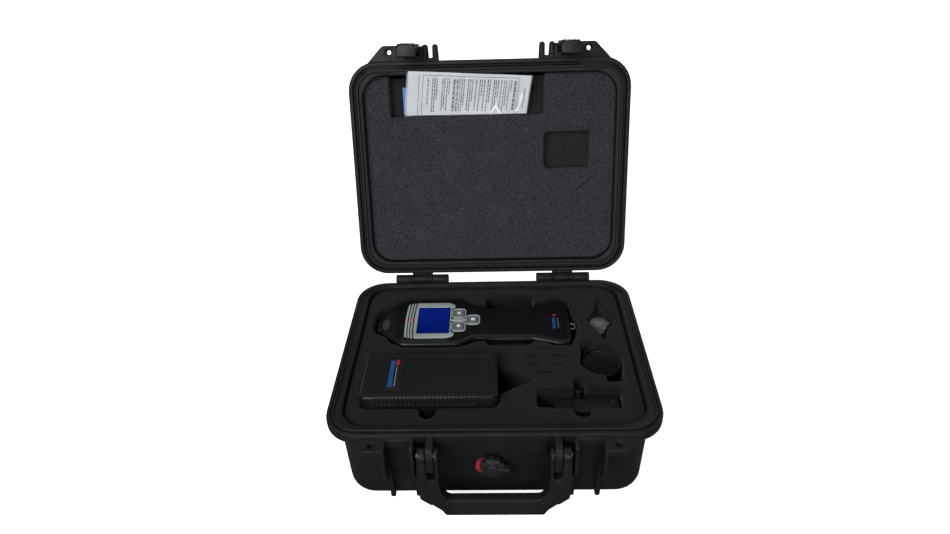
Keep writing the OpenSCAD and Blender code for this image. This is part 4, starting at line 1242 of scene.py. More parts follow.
def valve_dial():
    """A knob with twelve lobes, a raised ring, a centre boss and a pointer towards +x."""
    centre = (VALVE_X, VALVE_Z)
    lobes = []
    for a in full_turn(144):
        r = 12.3 + 1.0 * (0.5 + 0.5 * math.cos(12 * a)) ** 1.5
        lobes.append((VALVE_X + r * math.cos(a), VALVE_Z + r * math.sin(a)))
    half = [(-5, 3.4), (10, 2.7), (17.5, 2.2)]   # pointer: x, half width
    pointer = ([(VALVE_X + x, VALVE_Z - w) for x, w in half]
               + [(VALVE_X + x, VALVE_Z + w) for x, w in half[::-1]])
    return Part(
        solid(lobes, -135.4, -128.8, 0.8, "y", low=1.0),
        lathe([(10.4, -134), (10.4, -135.9), (9.8, -136.3), (8.4, -136.3), (7.9, -135.8),
               (7.6, -135.0)], "y", centre),
        lathe([(6.5, -133), (6.5, -137.6), (6.1, -138.2), (5.2, -138.5), (0.6, -138.5)],
              "y", centre, 40),
        solid(rounded(pointer, [2, 4, 2, 2, 4, 2]), -138.3, -130.6, 0.9, "y"),
        cylinder("y", centre, 5.44, -129.4, -122.8, 0.3, 32))


make("valve_red_flange", valve_flange(), VALVE_RED, "case_base", "valve_body")
make("valve_dial", valve_dial(), VALVE, "valve_knob", "valve_knob")

# ---------------------------------------------------------------- base foam
DETECTOR_HOLE = [
    (-143.5, 68), (-138, 79), (-124, 86), (-115.6, 95.8), (-104, 101), (-64, 102),
    (-37, 101.5), (-20, 88), (-8, 86), (46, 86), (60, 90.5), (68, 95.5), (80, 97), (92, 91),
    (99, 66), (103, 51), (96, 25), (90, 8.5), (70, 8), (59, 16), (-5, 18), (-18, 17),
    (-36, 8), (-60, 7), (-104, 8), (-120, 17), (-124, 26), (-139, 34), (-143.5, 46)]

# shape, floor height, smoothing passes
POCKETS = (
    # finger room beside the detector
    (rect_field(-8.6, 51, 75, 104.5, 6), 84.0, 3),
    # detector and charging box
    (union(poly_field(DETECTOR_HOLE), rect_field(-8.6, 51, 75, 91.0, 3),
           rect_field(-7, 45, 9.1, 40, 5), rect_field(-139.0, 6.5, -90.5, -17.8, 9),
           circle_field(-67.5, -96.5, 8.8), rect_field(-76.2, -58.8, -98, -80, 3),
           poly_field([(0, -22), (8, -31.2), (42, -50.2), (9, -69), (0, -75)])),
     FOAM_FLOOR, 4),
    # calibration cap
    (union(circle_field(120, -17.7, 24), circle_field(106, 5, 8.5),
           rect_field(99, 113, -8, 6, 3), rect_field(122, 142, -53, -25, 3)), 77.7, 3),
    # belt clip
    (poly_field([(129, 96.8), (136, 76), (147, 56), (134, 34), (129, 13.8), (124, 34),
                 (111, 56), (122, 76)]), 87.7, 3),
    # hose adapter
    (union(rect_field(45, 62.5, -90, -65, 3),
           poly_field([(60, -72), (60, -66), (86, -61.2), (84, -49.2), (91, -43.2), (97, -50),
                       (100, -58), (134, -66), (133, -92.2), (60, -92.2)]),
           rect_field(82.5, 99, -104, -85, 6)), 75.7, 3),
    # cross-shaped plug
    (union(rect_field(50, 65, -38.3, 1.5, 1), rect_field(37, 79.5, -24.5, -9.8, 1)), 73.5, 1),
)


def base_foam():
    pockets = [(loop, floor_z) for field, floor_z, smooth in POCKETS
               for loop in contours(field, -160, 160, -125, 125, 0.8, 1.6, smooth)]
    outline = resample(rect(-153.5, 153.5, -118.9, 121.8, 26.5, 12), 2.0)
    return Part(foam_body(outline, pockets, FOAM_TOP, FOAM_FLOOR - 2, roll=2.0, grid=5.5,
                          wave=0.45, sag=0.55, seed=1.7))


def base_foam_under():
    outline = resample(rect(-148.5, 148.5, -114.9, 117.8, 22, 8), 3)
    return Part(
        foam_body(outline, [], FOAM_FLOOR - 2.3, 10.5, roll=1.6, grid=9, rows=(0.8, 2),
                  wave=0.2, sag=0.3, seed=5.1, wall_rows=5),
        solid(rect(-141.5, 141.5, -107.9, 110.8, 18, 8), 5, 11, 1.2))


def foam_cross():
    shape = union(rect_field(50.6, 64.4, -37.7, 0.9, 1.2),
                  rect_field(37.6, 78.9, -23.9, -10.4, 1.2))
    outline = contours(shape, 34, 82, -42, 5, 0.6, 1.3, 1)[0]
    return Part(foam_body(outline, [], FOAM_TOP - 0.2, FOAM_TOP - 27.5, roll=1.6, grid=3.2,
                          rows=(0.4, 1.0, 1.9), wave=0.35, sag=0.45, seed=9.3))


make("base_foam_cut", base_foam(), SHADED_BASE_FOAM, "case_base", "base_foam", sharp=60)
make("base_foam_under", base_foam_under(), FOAM_UNDER, "case_base", "base_foam_bottom",
     sharp=60)
make("foam_cross", foam_cross(), SHADED_BASE_FOAM, "case_base", "foam_cross_plug", sharp=60)


# ---------------------------------------------------------------- lid foam
def face_down(part):
    """Turns heights above the lid foam's face into heights in the closed lid."""
    part.verts = [(x, y, LID_FACE - z) for x, y, z in part.verts]
    return part


def lid_foam_front():
    """The cut layer, with a notch for the papers, a square pocket and a slanting slit."""
    outline = [(-154.0, -115.4), (-122.5, -115.4), (-122.5, -65.4), (67, -65.4),
               (67, -115.4), (154.0, -115.4), (154.0, 117.6), (-154.0, 117.6)]
    outline = rounded(outline, [25.0, 1.2, 2.5, 2.5, 1.2, 25.0, 25.0, 25.0], 9)
    square = rounded([(66.5, -45.2), (124, -45.2), (124, 1.8), (66.5, 1.8)], [8, 2, 2, 8], 6)
    slit = [(109.0, 28.6), (108.4, 28.0), (128.4, 11.2), (129.0, 11.8)]
    pockets = [(resample(square, 1.5, 1), -13.9), (resample(slit, 0.8), -9.0)]
    return face_down(Part(foam_body(
        resample(outline, 1.8, 1), pockets, 0.0, -14.0, roll=1.5, grid=5.5,
        rows=(0.5, 1.2, 2.4, 4.2), wave=0.4, sag=0.35, seed=3.3)))


def lid_foam_rear():
    """The backing layer, with the floor of the square pocket."""
    square = rounded([(66.9, -44.8), (123.6, -44.8), (123.6, 1.4), (66.9, 1.4)],
                     [8, 2, 2, 8], 6)
    return face_down(Part(
        foam_body(resample(rect(-148.5, 148.5, -112, 114, 22, 8), 3), [], -14.3, -30.3,
                  roll=1.5, grid=7, rows=(0.8, 2.2), wave=0.25, sag=0.3, seed=7.7),
        moulding(resample(square, 1.5), lambda x, y, d: -12.7 + 0.15 * ripple(x / 9, y / 9, 3.1),
                 lambda x, y, d: -14.6, grid=4, rows=(0.5, 1.5))))


make("lid_foam_front", lid_foam_front(), LIT_LID_FOAM, "case_lid", "lid_foam",
     lid=True, sharp=60)
make("lid_foam_rear", lid_foam_rear(), SHADED_LID_BACKING, "case_lid", "lid_foam_backing",
     lid=True, sharp=60)


# ---------------------------------------------------------------- papers
def slab_faces(nx, ny, corner):
    """Faces of a thin slab of nx by ny cells. corner(i, j, side) is a vertex index."""
    faces = []
    for i in range(nx):
        for j in range(ny):
            cell = ((i, j), (i + 1, j), (i + 1, j + 1), (i, j + 1))
            faces.append(tuple(corner(*c, 0) for c in cell))
            faces.append(tuple(corner(*c, 1) for c in (cell[0], *cell[:0:-1])))
    for i in range(nx):
        faces.append((corner(i, 0, 0), corner(i, 0, 1), corner(i + 1, 0, 1),
                      corner(i + 1, 0, 0)))
        faces.append((corner(i, ny, 0), corner(i + 1, ny, 0), corner(i + 1, ny, 1),
                      corner(i, ny, 1)))
    for j in range(ny):
        faces.append((corner(0, j, 0), corner(0, j + 1, 0), corner(0, j + 1, 1),
                      corner(0, j, 1)))
        faces.append((corner(nx, j, 0), corner(nx, j, 1), corner(nx, j + 1, 1),
                      corner(nx, j + 1, 0)))
    return faces


def layered_faces(nx, ny):
    """Slab faces for vertices listed one whole side after the other."""
    return slab_faces(nx, ny, lambda i, j, side: (side * (nx + 1) + i) * (ny + 1) + j)


def bent_sheet(x0, x1, y0_at, y1_at, z_at, nx, ny, thick):
    """A bent sheet on the leaflet's plane. y0_at and y1_at give its long edges at each x."""
    verts = []
    for side in (1, -1):
        for i in range(nx + 1):
            x = x0 + (x1 - x0) * i / nx
            for j in range(ny + 1):
                y = y0_at(x) + (y1_at(x) - y0_at(x)) * j / ny
                verts.append((x, y, z_at(x, y) + side * thick / 2))
    return on_leaflet(verts), layered_faces(nx, ny)


def lerp(a, b, t):
    return a + (b - a) * max(0.0, min(1.0, t))


def top_edge(x):
    return lerp(-57.2, -48.6, (x + 97) / 141.5)


def low_edge(x):
    return lerp(-1.6, -0.9, (x + 97) / 141.5)


def sheet_z(x, y):
    """A gentle belly along the sheet, a ripple and a lifted top edge."""
    t = (x + 97) / 141.5
    z = 0.9 * math.sin(math.pi * t) * math.sin(math.pi * min(1, max(0, -y / 50)))
    z += 0.3 * math.sin(x / 13.0) * (-y / 50) ** 2
    z += 0.5 * max(0.0, (-y - 42) / 12) ** 2
    return z


def film_z(x, y):
    return (sheet_z(x, y) * 1.02 - 0.75 - 0.25 * math.sin(x / 9.0 + y / 14.0)
            - 0.2 * math.sin(x / 4.1))


# Lines of word-like strips that run up the sheet: x, end y
TEXT_LINES = (
    (-74.2, -14), (-68.4, -5), (-65.9, -5), (-63.4, -20), (-56.4, -5), (-53.9, -9),
    (-50.8, -5), (-48.4, -26), (-32.6, -5), (-30.2, -12), (-25.2, -5), (-22.6, -5),
    (-20.1, -18), (-15.7, -7), (-11.2, -5), (-8.6, -24), (-5.6, -5), (-1.4, -5), (1.1, -15),
    (6.0, -5), (8.6, -5), (11.2, -22), (14.9, -5), (18.4, -5), (21.0, -12), (24.4, -5),
    (26.9, -30))
HEADINGS = ((-42.4, 2.6), (-38.2, 1.6), (31.6, 2.6))   # x, width


def print_bars():
    """Printed bars of the sheet as (x0, x1, y0, y1)."""
    rng = np.random.default_rng(11)
    bars = []

    def print_line(x, y, end, width, shortest, longest, gap):
        while y < end - 0.8:
            length = min(shortest + (longest - shortest) * rng.random(), end - y)
            bars.append((x - width / 2, x + width / 2, y, y + length))
            y += length + gap

    for x, end in TEXT_LINES:
        print_line(x, -45.5, end, 1.45, shortest=1.4, longest=5.0, gap=0.85)
    for x, width in HEADINGS:
        print_line(x, -45.0, -5.5, width, shortest=2.4, longest=7.5, gap=1.1)
        bars.append((x + width / 2 + 0.9, x + width / 2 + 1.4, -45.5, -5.0))   # underline
    # frame lines
    bars += [(x - 0.34, x + 0.34, -48.6, -2.0) for x in (-85.4, -80.6, -34.9, 36.4)]
    bars += [(x0, x1, -48.6 - 0.34, -48.6 + 0.34) for x0, x1 in ((-80.6, -34.9), (-34.9, 36.4))]
    bars += [(x - 0.9, x + 0.9, -43.4, -41.8)
             for x in (-74.2, -65.9, -56.4, -25.2, -15.7, -5.6, 6.0, 18.4)]
    bars.append((43.5, 44.4, -36.0, -8.0))
    return bars


def printed_strip(x0, x1, y0, y1):
    """A thin raised strip that follows the sheet."""
    nx, ny = max(1, int((x1 - x0) / 2.5)), max(1, int((y1 - y0) / 4))
    verts = []
    for i in range(nx + 1):
        x = x0 + (x1 - x0) * i / nx
        for j in range(ny + 1):
            y = y0 + (y1 - y0) * j / ny
            y = y + (top_edge(x) + 52.5) * (-y / 52.0)
            z = sheet_z(x, y)
            verts += [(x, y, z - 0.15 - 0.06), (x, y, z - 0.13)]
    faces = slab_faces(nx, ny, lambda i, j, side: 2 * (i * (ny + 1) + j) + side)
    return on_leaflet(verts), faces


def leaflet():
    sheet = bent_sheet(-99.0, 49.3, top_edge, low_edge, sheet_z, 60, 26, 0.3)
    return Part(sheet).add(*[printed_strip(*bar) for bar in print_bars()], mat=2)


def painted_crease_highlight(points):
    """A flake coloured pale just off the front film, a painted highlight where the film is
    creased.
    """
    verts, faces = solid(rounded(points, 0.7, 3), -0.05, 0.05, 0)
    verts[:, 2] += np.array([film_z(x, y) - 0.12 for x, y in verts[:, :2]])
    return on_leaflet(verts), faces


def sleeve():
    """Two films round the sheet, with painted highlights at two creased places."""
    films = [bent_sheet(-101.0, 50.6, lambda x: lerp(y0, y1, (x + 98) / 147),
                        lambda x: -0.5, z_at, nx, ny, 0.08)
             for y0, y1, z_at, nx, ny in (
                 (-57.0, -48.9, film_z, 90, 30),
                 (-54.2, -46.6, lambda x, y: sheet_z(x, y) * 0.9 + 0.8, 60, 20))]
    highlight_patches = ([(4.5, -3.0), (7.5, -3.2), (11.0, -9.8), (13.6, -3.4), (19.0, -1.6),
                (14.4, -8.4), (11.8, -13.4), (9.6, -12.6)],
               [(34.5, -3.5), (39.6, -4.6), (42.6, -22.5), (41.4, -30.0), (38.6, -21.0),
                (38.8, -12.0)])
    return Part(*films).add(*[painted_crease_highlight(points) for points in highlight_patches], mat=1)


def book_layer(y0, y1, x0, x1, z, bulge, thick):
    nx, ny = 40, 8
    verts = []
    for side in (0, 1):
        for i in range(nx + 1):
            x = x0 + (x1 - x0) * i / nx
            for j in range(ny + 1):
                y = y0 + (y1 - y0) * j / ny
                verts.append((x, y, z + bulge * math.sin(math.pi * i / nx) * 0.6
                              + thick * side))
    # side 0 is the lower one here, so the faces turn the other way
    return verts, [(a, d, c, b) for a, b, c, d in layered_faces(nx, ny)]


def booklet():
    """Two bent covers round a block of leaves."""
    book = Part(book_layer(-101, -68.8, -106.5, 39.5, 126.7, -0.5, 0.45))
    book.add(*[book_layer(-100.4 + 0.2 * k, -69.0, -105.6, 38.6 + 0.1 * k, 127.25 + 0.36 * k,
                          -0.4 + 0.08 * k, 0.26) for k in range(5)], mat=1)
    return book.add(book_layer(-101, -68.8, -106.5, 39.5, 129.1, -0.1, 0.45))


make("leaflet_sheet", leaflet(), [PAPER, INK, INK_DARK, PAGES], "documents", "leaflet",
     lid=True, sharp=50)
make("document_sleeve_film", sleeve(), [FILM, PAINTED_GLARE], "documents", "document_sleeve",
     lid=True, sharp=70)
make("booklet_blue", booklet(), [BOOKLET, PAGES], "documents", "booklet",
     lid=True, sharp=50)

# ---------------------------------------------------------------- detector body
DY = DETECTOR_Y
HEAD_HALF = 43.5                 # half width of the head
NECK_Y0, NECK_Y1 = 22.5, 83.5    # sides of the neck
DETECTOR_SHAPE = union(
    rect_field(-117, -44, DY - HEAD_HALF, DY + HEAD_HALF, 16),
    poly_field([(-60, DY - HEAD_HALF), (-38, DY - HEAD_HALF), (-22, DY - 31), (0, NECK_Y0),
                (0, NECK_Y1), (-22, DY + 30.5), (-38, DY + HEAD_HALF),
                (-60, DY + HEAD_HALF)]),
    rect_field(-30, 70, NECK_Y0, NECK_Y1, 3),
    poly_field([(48, NECK_Y0), (62, 17), (74, 11.5), (74, 94.5), (62, 88.5), (48, NECK_Y1)]),
    rect_field(66, 92.5, 11.5, 94.5, 12),
    poly_field([(-108, DY - 38), (-117, DY - 33), (-127, DY - 25), (-134.5, DY - 14),
                (-136.5, DY - 4), (-135.5, DY + 7), (-129, DY + 20), (-117, DY + 31),
                (-108, DY + 36)], grow=0.5))
DETECTOR_OUTLINE = contours(DETECTOR_SHAPE, -140, 96, 5, 105, 0.7, 1.5, 5)[0]


def front_z(x, y, d):
    r = 5.0 + 0.5 * smoothstep((x + 20) / 22) - 1.2 * smoothstep((x - 55) / 20)
    z = DETECTOR_TOP - 0.05 - edge_drop(d, r)
    # the nose slopes down to the inlet, the neck dips, and the end of the foot falls away
    z -= 4.2 * smoothstep((-110.5 - x) / 22)
    z -= 1.3 * smoothstep((x + 12) / 14) * (1 - smoothstep((x - 52) / 18))
    z -= 2.2 * smoothstep((x - 82) / 10)
    grooved = smoothstep((x + 6) / 6) * (1 - smoothstep((x - 56) / 6))
    if grooved > 0 and d > 5:
        groove = (0.5 + 0.5 * math.cos(2 * math.pi * (x - 6) / 9)) ** 6
        z -= 0.32 * grooved * smoothstep((d - 5) / 3) * groove
    return max(z, 84.0)


def rear_z(x, y, d):
    z = 62.0 + edge_drop(d, 8.0)
    z += 8.0 * smoothstep((-112 - x) / 22)
    return min(z, 83.2)


def detector_front():
    right = [(-108.2, 38), (-55, 38), (-49.8, 33)]   # x, half width of the screen frame
    frame_outline = ([(-109.8, DY - 30)] + [(x, DY - w) for x, w in right]
                     + [(x, DY + w) for x, w in right[::-1]] + [(-109.8, DY + 30)])
    front = Part(
        moulding(DETECTOR_OUTLINE, front_z, lambda x, y, d: 84.0, grid=3.6),
        solid(rounded(frame_outline, [8, 8, 4, 4, 4, 4, 8, 8], 8), 99, 102.6, 0.8, low=0))
    # slim rails along the head and the neck
    for sign, neck_y in ((-1, 22.6), (1, 83.4)):
        front.add(
            wire([(x, DY + sign * 43.2, 90.5) for x in np.linspace(-98, -46, 14)], 1.1, 10),
            wire([(x, neck_y, 90.0) for x in np.linspace(0, 48, 14)], 0.8, 10))
    # sounder grille on the neck
    return front.add(*[block(-6.8 + 2.6 * k, -5.4 + 2.6 * k, DY - 7, DY + 7, 98,
                             101.55 - 0.25 * k, 0.6, 0.3) for k in range(4)])


def detector_rear():
    return Part(
        moulding(DETECTOR_OUTLINE, lambda x, y, d: 83.2, rear_z, grid=4.5),
        *[block(56, 60, 32 + 4.6 * k, 34.2 + 4.6 * k, 61.6, 63.2, 0.9, 0.5)
          for k in range(9)])


make("detector_front", detector_front(), DETECTOR, "detector", "front_cover",
     sharp=44)
make("detector_rear", detector_rear(), DETECTOR_REAR, "detector", "rear_cover",
     sharp=44)

# ---------------------------------------------------------------- detector face
BEZEL_Z0, BEZEL_Z1 = 101.6, 103.1


def bowed(x, half_width, t):
    """A point of a line across the detector that bows towards the nose in the middle."""
    y = DY + half_width * t
    return (x + 1.7 * ((y - DY) / 34) ** 2, y)


def bezel_plate():
    """Three curved stripes, then the plate round the screen."""
    across = np.linspace(-1, 1, 17)
    part = Part()
    # x0, x1, half width at x0, half width at x1
    for x0, x1, half0, half1 in ((-105.0, -102.3, 31.5, 32.6), (-101.2, -99.0, 33.0, 33.7),
                                 (-97.9, -95.7, 33.9, 34.4)):
        stripe = ([bowed(x1, half1, t) for t in across[::-1]]
                  + [bowed(x0, half0, t) for t in across])
        part.add(solid(rounded(stripe, 0.8, 3), BEZEL_Z0, BEZEL_Z1, 0.45))
    # x, half width of the plate's straight side
    right = [(-54, 34.5), (-47.6, 31.5), (-45.6, 27.5), (-46.5, 24.2), (-49.9, 23.4)]
    plate = ([bowed(-94.4, 34.5, t) for t in across[::-1]]
             + [(x, DY - w) for x, w in right] + [(x, DY + w) for x, w in right[::-1]])
    radii = [1.5] + [0] * 15 + [1.5] + [8, 4, 2, 2, 2, 2, 2, 2, 4, 8]
    window = rect(-90.2, -51.4, DY - 25.6, DY + 25.6, 1.6, 4)
    return part.add(solid(rounded(plate, radii, 5), BEZEL_Z0, BEZEL_Z1, 0.5, holes=[window]))


def display_glass():
    return Part(solid(rect(-90.0, -51.6, DY - 25.4, DY + 25.4, 1.5, 4), 99.8, 102.6, 0.5,
                      low=0.3))


def alarm_light():
    """A small dome on a dark diamond that crosses the stripes."""
    x, y = -98.4, DY + 0.8
    diamond = rounded([(-102.4, y), (x, DY - 3.4), (-94.4, y), (x, DY + 5.0)], 0.9, 3)
    return Part().add(solid(diamond, 101.4, 103.15, 0.5), mat=1).add(
        lathe([(2.6, 98), (2.6, 102.9), (2.45, 103.3), (1.9, 103.7), (1.0, 103.95),
               (0.15, 104.0)], "z", (x, y), 28))


make("bezel_plate", bezel_plate(), BEZEL, "detector", "screen_bezel", sharp=50)
make("display_glass", display_glass(), SCREEN, "detector", "display_window",
     sharp=50)
make("alarm_light", alarm_light(), [LED, LABEL], "detector", "alarm_led", sharp=50)

KEYS = {"key_a": (-40.7, DY + 12.6), "key_b": (-40.7, DY - 12.7), "key_c": (-23.7, DY)}


def key_cap(x, y, round_mark):
    part = Part(
        solid(rect(x - 6.4, x + 6.4, y - 7.2, y + 7.2, 3.3, 7), 99.7, 103.6, 1.1, seg=4),
        lathe([(4.6, 103.0), (4.6, 103.62), (4.2, 103.78), (3.6, 103.7), (3.2, 103.5)],
              "z", (x, y), 28))
    if round_mark:
        mark = lathe([(2.6, 103.2), (2.6, 103.8), (2.2, 103.88), (0.2, 103.88)], "z",
                     (x, y), 24)
    else:
        mark = solid(rect(x - 1.9, x + 1.9, y - 2.3, y + 2.3, 0.7, 3), 103.2, 103.88, 0.25)
    return part.add(mark, mat=1)


def key_rings():
    """A ring round each key, a bar along the axis and two tabs at the bezel."""
    part = Part()
    for x, y in KEYS.values():
        part.add(solid(rect(x - 8.5, x + 8.5, y - 9.5, y + 9.5, 5.0, 8), 101.7, 103.15, 0.45,
                       holes=[rect(x - 7.1, x + 7.1, y - 7.9, y + 7.9, 3.8, 7)]))
    part.add(block(-50.6, -32.0, DY - 1.5, DY + 1.5, 101.7, 103.0, 0.9, 0.4))
    return part.add(*[block(-51.0, -49.0, y - 1.7, y + 1.7, 101.7, 103.0, 0.8, 0.4)
                      for y in (DY + 13.5, DY - 13.5)])


def detector_mark():
    """Two-colour mark near the foot."""
    part = Part(*[solid(rect(70.6, 74.6, 37.2 + 4.3 * k, 40.7 + 4.3 * k, 0.7, 3), 99.6,
                        102.25, 0.2) for k in range(5)])
    part.add(lathe([(2.2, 99.6), (2.2, 102.1), (2.0, 102.28), (0.1, 102.28)], "z",
                   (74.0, 63.2), 24), mat=1)
    return part.add(solid(rect(77.2, 77.9, 38.5, 57.5, 0.3, 2), 99.6, 102.22, 0.1), mat=2)


for key_name, (key_x, key_y) in KEYS.items():
    make(key_name + "_cap", key_cap(key_x, key_y, key_name == "key_c"), [KEY, KEY_MARK],
         key_name, key_name, sharp=50)
make("key_rings", key_rings(), BEZEL, "detector", "key_surrounds", sharp=50)
make("detector_mark", detector_mark(), [MARK_BLUE, MARK_RED, MARK_PALE], "detector", None)

# ---------------------------------------------------------------- detector inlet and bail
INLET = (DY, 86)   # y, z


def nose_oval(half_x, half_y):
    return [(-127.6 + half_x * math.cos(a), DY - 2.5 + half_y * math.sin(a))
            for a in full_turn(40)]


def inlet_ring():
    """A collar in the end of the nose, and an oval rim on top of it."""
    return Part(
        lathe([(8.5, -126), (12.0, -126), (12.2, -136.6), (11.7, -137.8), (10.8, -138.2),
               (9.9, -137.7), (9.6, -136.5), (9.5, -130), (8.5, -129.9)], "x", INLET, 56,
              ends="ring"),
        solid(nose_oval(7.6, 13.6), 94, 100.3, 0.6, holes=[nose_oval(6.2, 12.0)], low=0))


def inlet_dome():
    """A dome in the collar, and a rough window in the oval rim."""
    profile = [(9.4, -129.9), (9.4, -132)]
    profile += [(9.4 * c, -132 - 5.6 * s) for s, c in sincos((12, 24, 36, 48, 60, 72, 83))]
    return Part(
        lathe(profile, "x", INLET),
        moulding(resample(nose_oval(6.2, 12.0), 1.2),
                 lambda x, y, d: (98.3 + 1.1 * min(1.0, d / 4.0)
                                  + 0.45 * ripple(x / 1.7, y / 1.7, 2.2)),
                 lambda x, y, d: 95.0, grid=1.1, rows=(0.3, 0.8)))


def strap_wire():
    """One bent wire with its two stubs, as (x, y) points."""
    path = [(90, 31.5), (90, 35.8), (90.4, 36.6), (91.4, 36.9), (95.6, 37.2), (97.0, 38.0),
            (97.3, 39.6), (97.35, 42), (97.3, 44.4), (97.0, 46.0), (95.6, 46.8),
            (91.4, 47.1), (90.4, 47.4), (90, 48.2), (90, 52.5)]
    return Part(wire([(x, y + 6, 96) for x, y in path], 0.85, 12))


make("inlet_ring", inlet_ring(), LABEL, "detector", "inlet_collar", sharp=50)
make("inlet_dome", inlet_dome(), LENS, "detector", "inlet_lens", sharp=70)
make("strap_wire", strap_wire(), CLIP, "strap_bail", "strap_bail", sharp=60)

# ---------------------------------------------------------------- charging box
CHARGER_OUTLINE = resample(rect(-137.5, 5, -89.2, -19.2, 7, 8), 1.8)


def charger_top_z(x, y, d):
    z = 115.0 - edge_drop(d, 2.6)
    k = smoothstep((d - 4.0) / 2.2)
    return z - 0.35 * k + 0.3 * k * math.exp(-((d - 30) / 12) ** 2)


def charger_upper():
    box = Part(moulding(CHARGER_OUTLINE, charger_top_z, lambda x, y, d: 88.0, grid=5,
                        rows=(0.25, 0.7, 1.3, 2.0, 2.7, 4.0, 4.9, 6.2)))
    # rib ends in two rows along the front edge, coloured light as painted highlights
    for i in range(26):
        x = -124 + i * 104 / 25
        box.add(wire([(x, -89.0, 112.9), (x, -88.7, 113.8), (x, -88.0, 114.5)], 0.7, 8),
                wire([(x, -89.15, 103.4), (x, -89.3, 104.0), (x, -89.3, 104.6),
                      (x, -89.15, 105.2)], 0.5, 8), mat=1)
    # raised beads along the front and left edges of the top, coloured light as a painted
    # highlight
    box.add(wire([(x, -88.75, 113.2) for x in np.linspace(-133, -126, 8)], 0.6, 8),
            wire([(-136.9, y, 113.9) for y in np.linspace(-84, -25, 12)], 0.55, 8), mat=1)
    box.add(wire([(x, -84.2, 114.8) for x in np.linspace(-128, -3, 20)], 0.3, 8))
    return box.add(*[block(-13, -4.5, y - 0.55, y + 0.55, 114.3, 115.1, 0.4, 0.2)
                     for y in (-59, -55.6, -52.2, -48.8)])


def charger_lower():
    return Part(moulding(CHARGER_OUTLINE, lambda x, y, d: 87.8,
                         lambda x, y, d: 62.0 + edge_drop(d, 3.0), grid=7,
                         rows=(0.25, 0.8, 1.6, 2.6, 5)))


def charger_plate():
    """The label, with seven blue tiles, a red tile and a pale line."""
    plate = Part(solid(rect(-114, -98, -78, -29, 1.6, 4), 113.6, 114.95, 0.2))
    tiles = [((-110.4, -105.6, -73.5 + 6.0 * k, -68.3 + 6.0 * k, 0.9, 3), 1) for k in range(7)]
    tiles += [((-104.6, -100.6, -40.0, -31.0, 0.9, 3), 2),
              ((-103.6, -102.7, -73.0, -42.4, 0.4, 2), 3)]
    for tile, mat in tiles:
        plate.add(solid(rect(*tile), 114.4, 115.1, 0.1), mat=mat)
    return plate


make("charger_upper", charger_upper(), [CHARGER, RIB_HIGHLIGHT], "charger", "charger_top",
     sharp=44)
make("charger_lower", charger_lower(), CHARGER, "charger", "charger_bottom",
     sharp=44)
make("charger_plate", charger_plate(), [LABEL, MARK_BLUE, MARK_RED, MARK_PALE], "charger",
     "charger_label")


# ---------------------------------------------------------------- accessories
def calibration_cap():
    """A ribbed cup with a side spout and a painted highlight arc on its rim."""
    cx, cy = 120, -17.7
    cup = [(19, 78.3), (20.8, 78), (21.4, 78.8), (21.5, 86), (21.2, 86.5), (21.2, 87.3),
           (21.5, 87.8), (21.5, 93.2), (21.1, 94.3), (20.2, 95.0), (19.2, 95.2), (18.2, 94.9),
           (17.6, 94.4), (17.0, 94.25), (0.3, 94.2), (0.3, 91), (17.5, 91), (18.9, 90),
           (19, 84)]
    cap = Part(lathe(cup, "z", (cx, cy), 72, ends="ring"))
    for x, y in circle(cx, cy, 21.4, 24):
        cap.add(wire([(x, y, z) for z in (79.5, 83, 85.6)], 0.55, 8))
    cap.add(
        lathe([(2.2, 84.2), (4.1, 84), (4.5, 84.5), (4.5, 92.4), (4.1, 93), (2.6, 93),
               (2.2, 92.5)], "z", (107.2, 3.0), 28, ends="open"),
        block(106.0, 111.5, -3.5, 3.5, 84.5, 89.5, 1.2, 0.7))
    # a light arc over the rim's right and far side: a painted highlight
    highlight_arc = [(cx + 20.5 * c, cy + 20.5 * s, 94.75) for s, c in sincos(range(-25, 118, 6))]
    return cap.add(wire(highlight_arc, 0.33, 8), mat=1)


def fan_z(x, y, d):
    t = smoothstep((y - 40) / 28)
    swell = 2.6 * math.exp(-(((x - 128.6) / 9.5) ** 2 + ((y - 63) / 8.0) ** 2)) * t
    return 90.2 - edge_drop(d, 1.0) + swell + 0.7 * ripple(x / 3.2, y / 3.2, 4.4)


def belt_clip():
    """A fan-shaped plate with a rivet and two ribs that spread from it."""
    fan = rounded([(118, 50), (119.5, 55.6), (123, 59.2), (128.5, 60.8), (134, 59.2),
                   (137.8, 55.6), (139.5, 50), (133.5, 39), (128.5, 27.2), (123.5, 39)],
                  [3, 6, 8, 10, 8, 6, 3, 10, 2.5, 10], 6)
    fan = [(128.5 + (x - 128.5) * 1.18, 61 + (y - 50) * 1.08) for x, y in fan]
    return Part(
        moulding(resample(fan, 0.9), fan_z, lambda x, y, d: 88.05 + edge_drop(d, 0.5),
                 grid=1.6, rows=(0.2, 0.5, 0.9, 1.5)),
        lathe([(1.9, 89.8), (1.9, 90.6), (1.6, 91.0), (0.8, 91.2), (0.1, 91.22)], "z",
              (128.5, 48.0), 24),
        *[wire([(128.5 + sign * (1.5 + 0.34 * t), 50 + 0.62 * t, 90.6 + 0.02 * t)
                for t in np.linspace(0, 20, 9)], 0.55, 8) for sign in (-1, 1)])


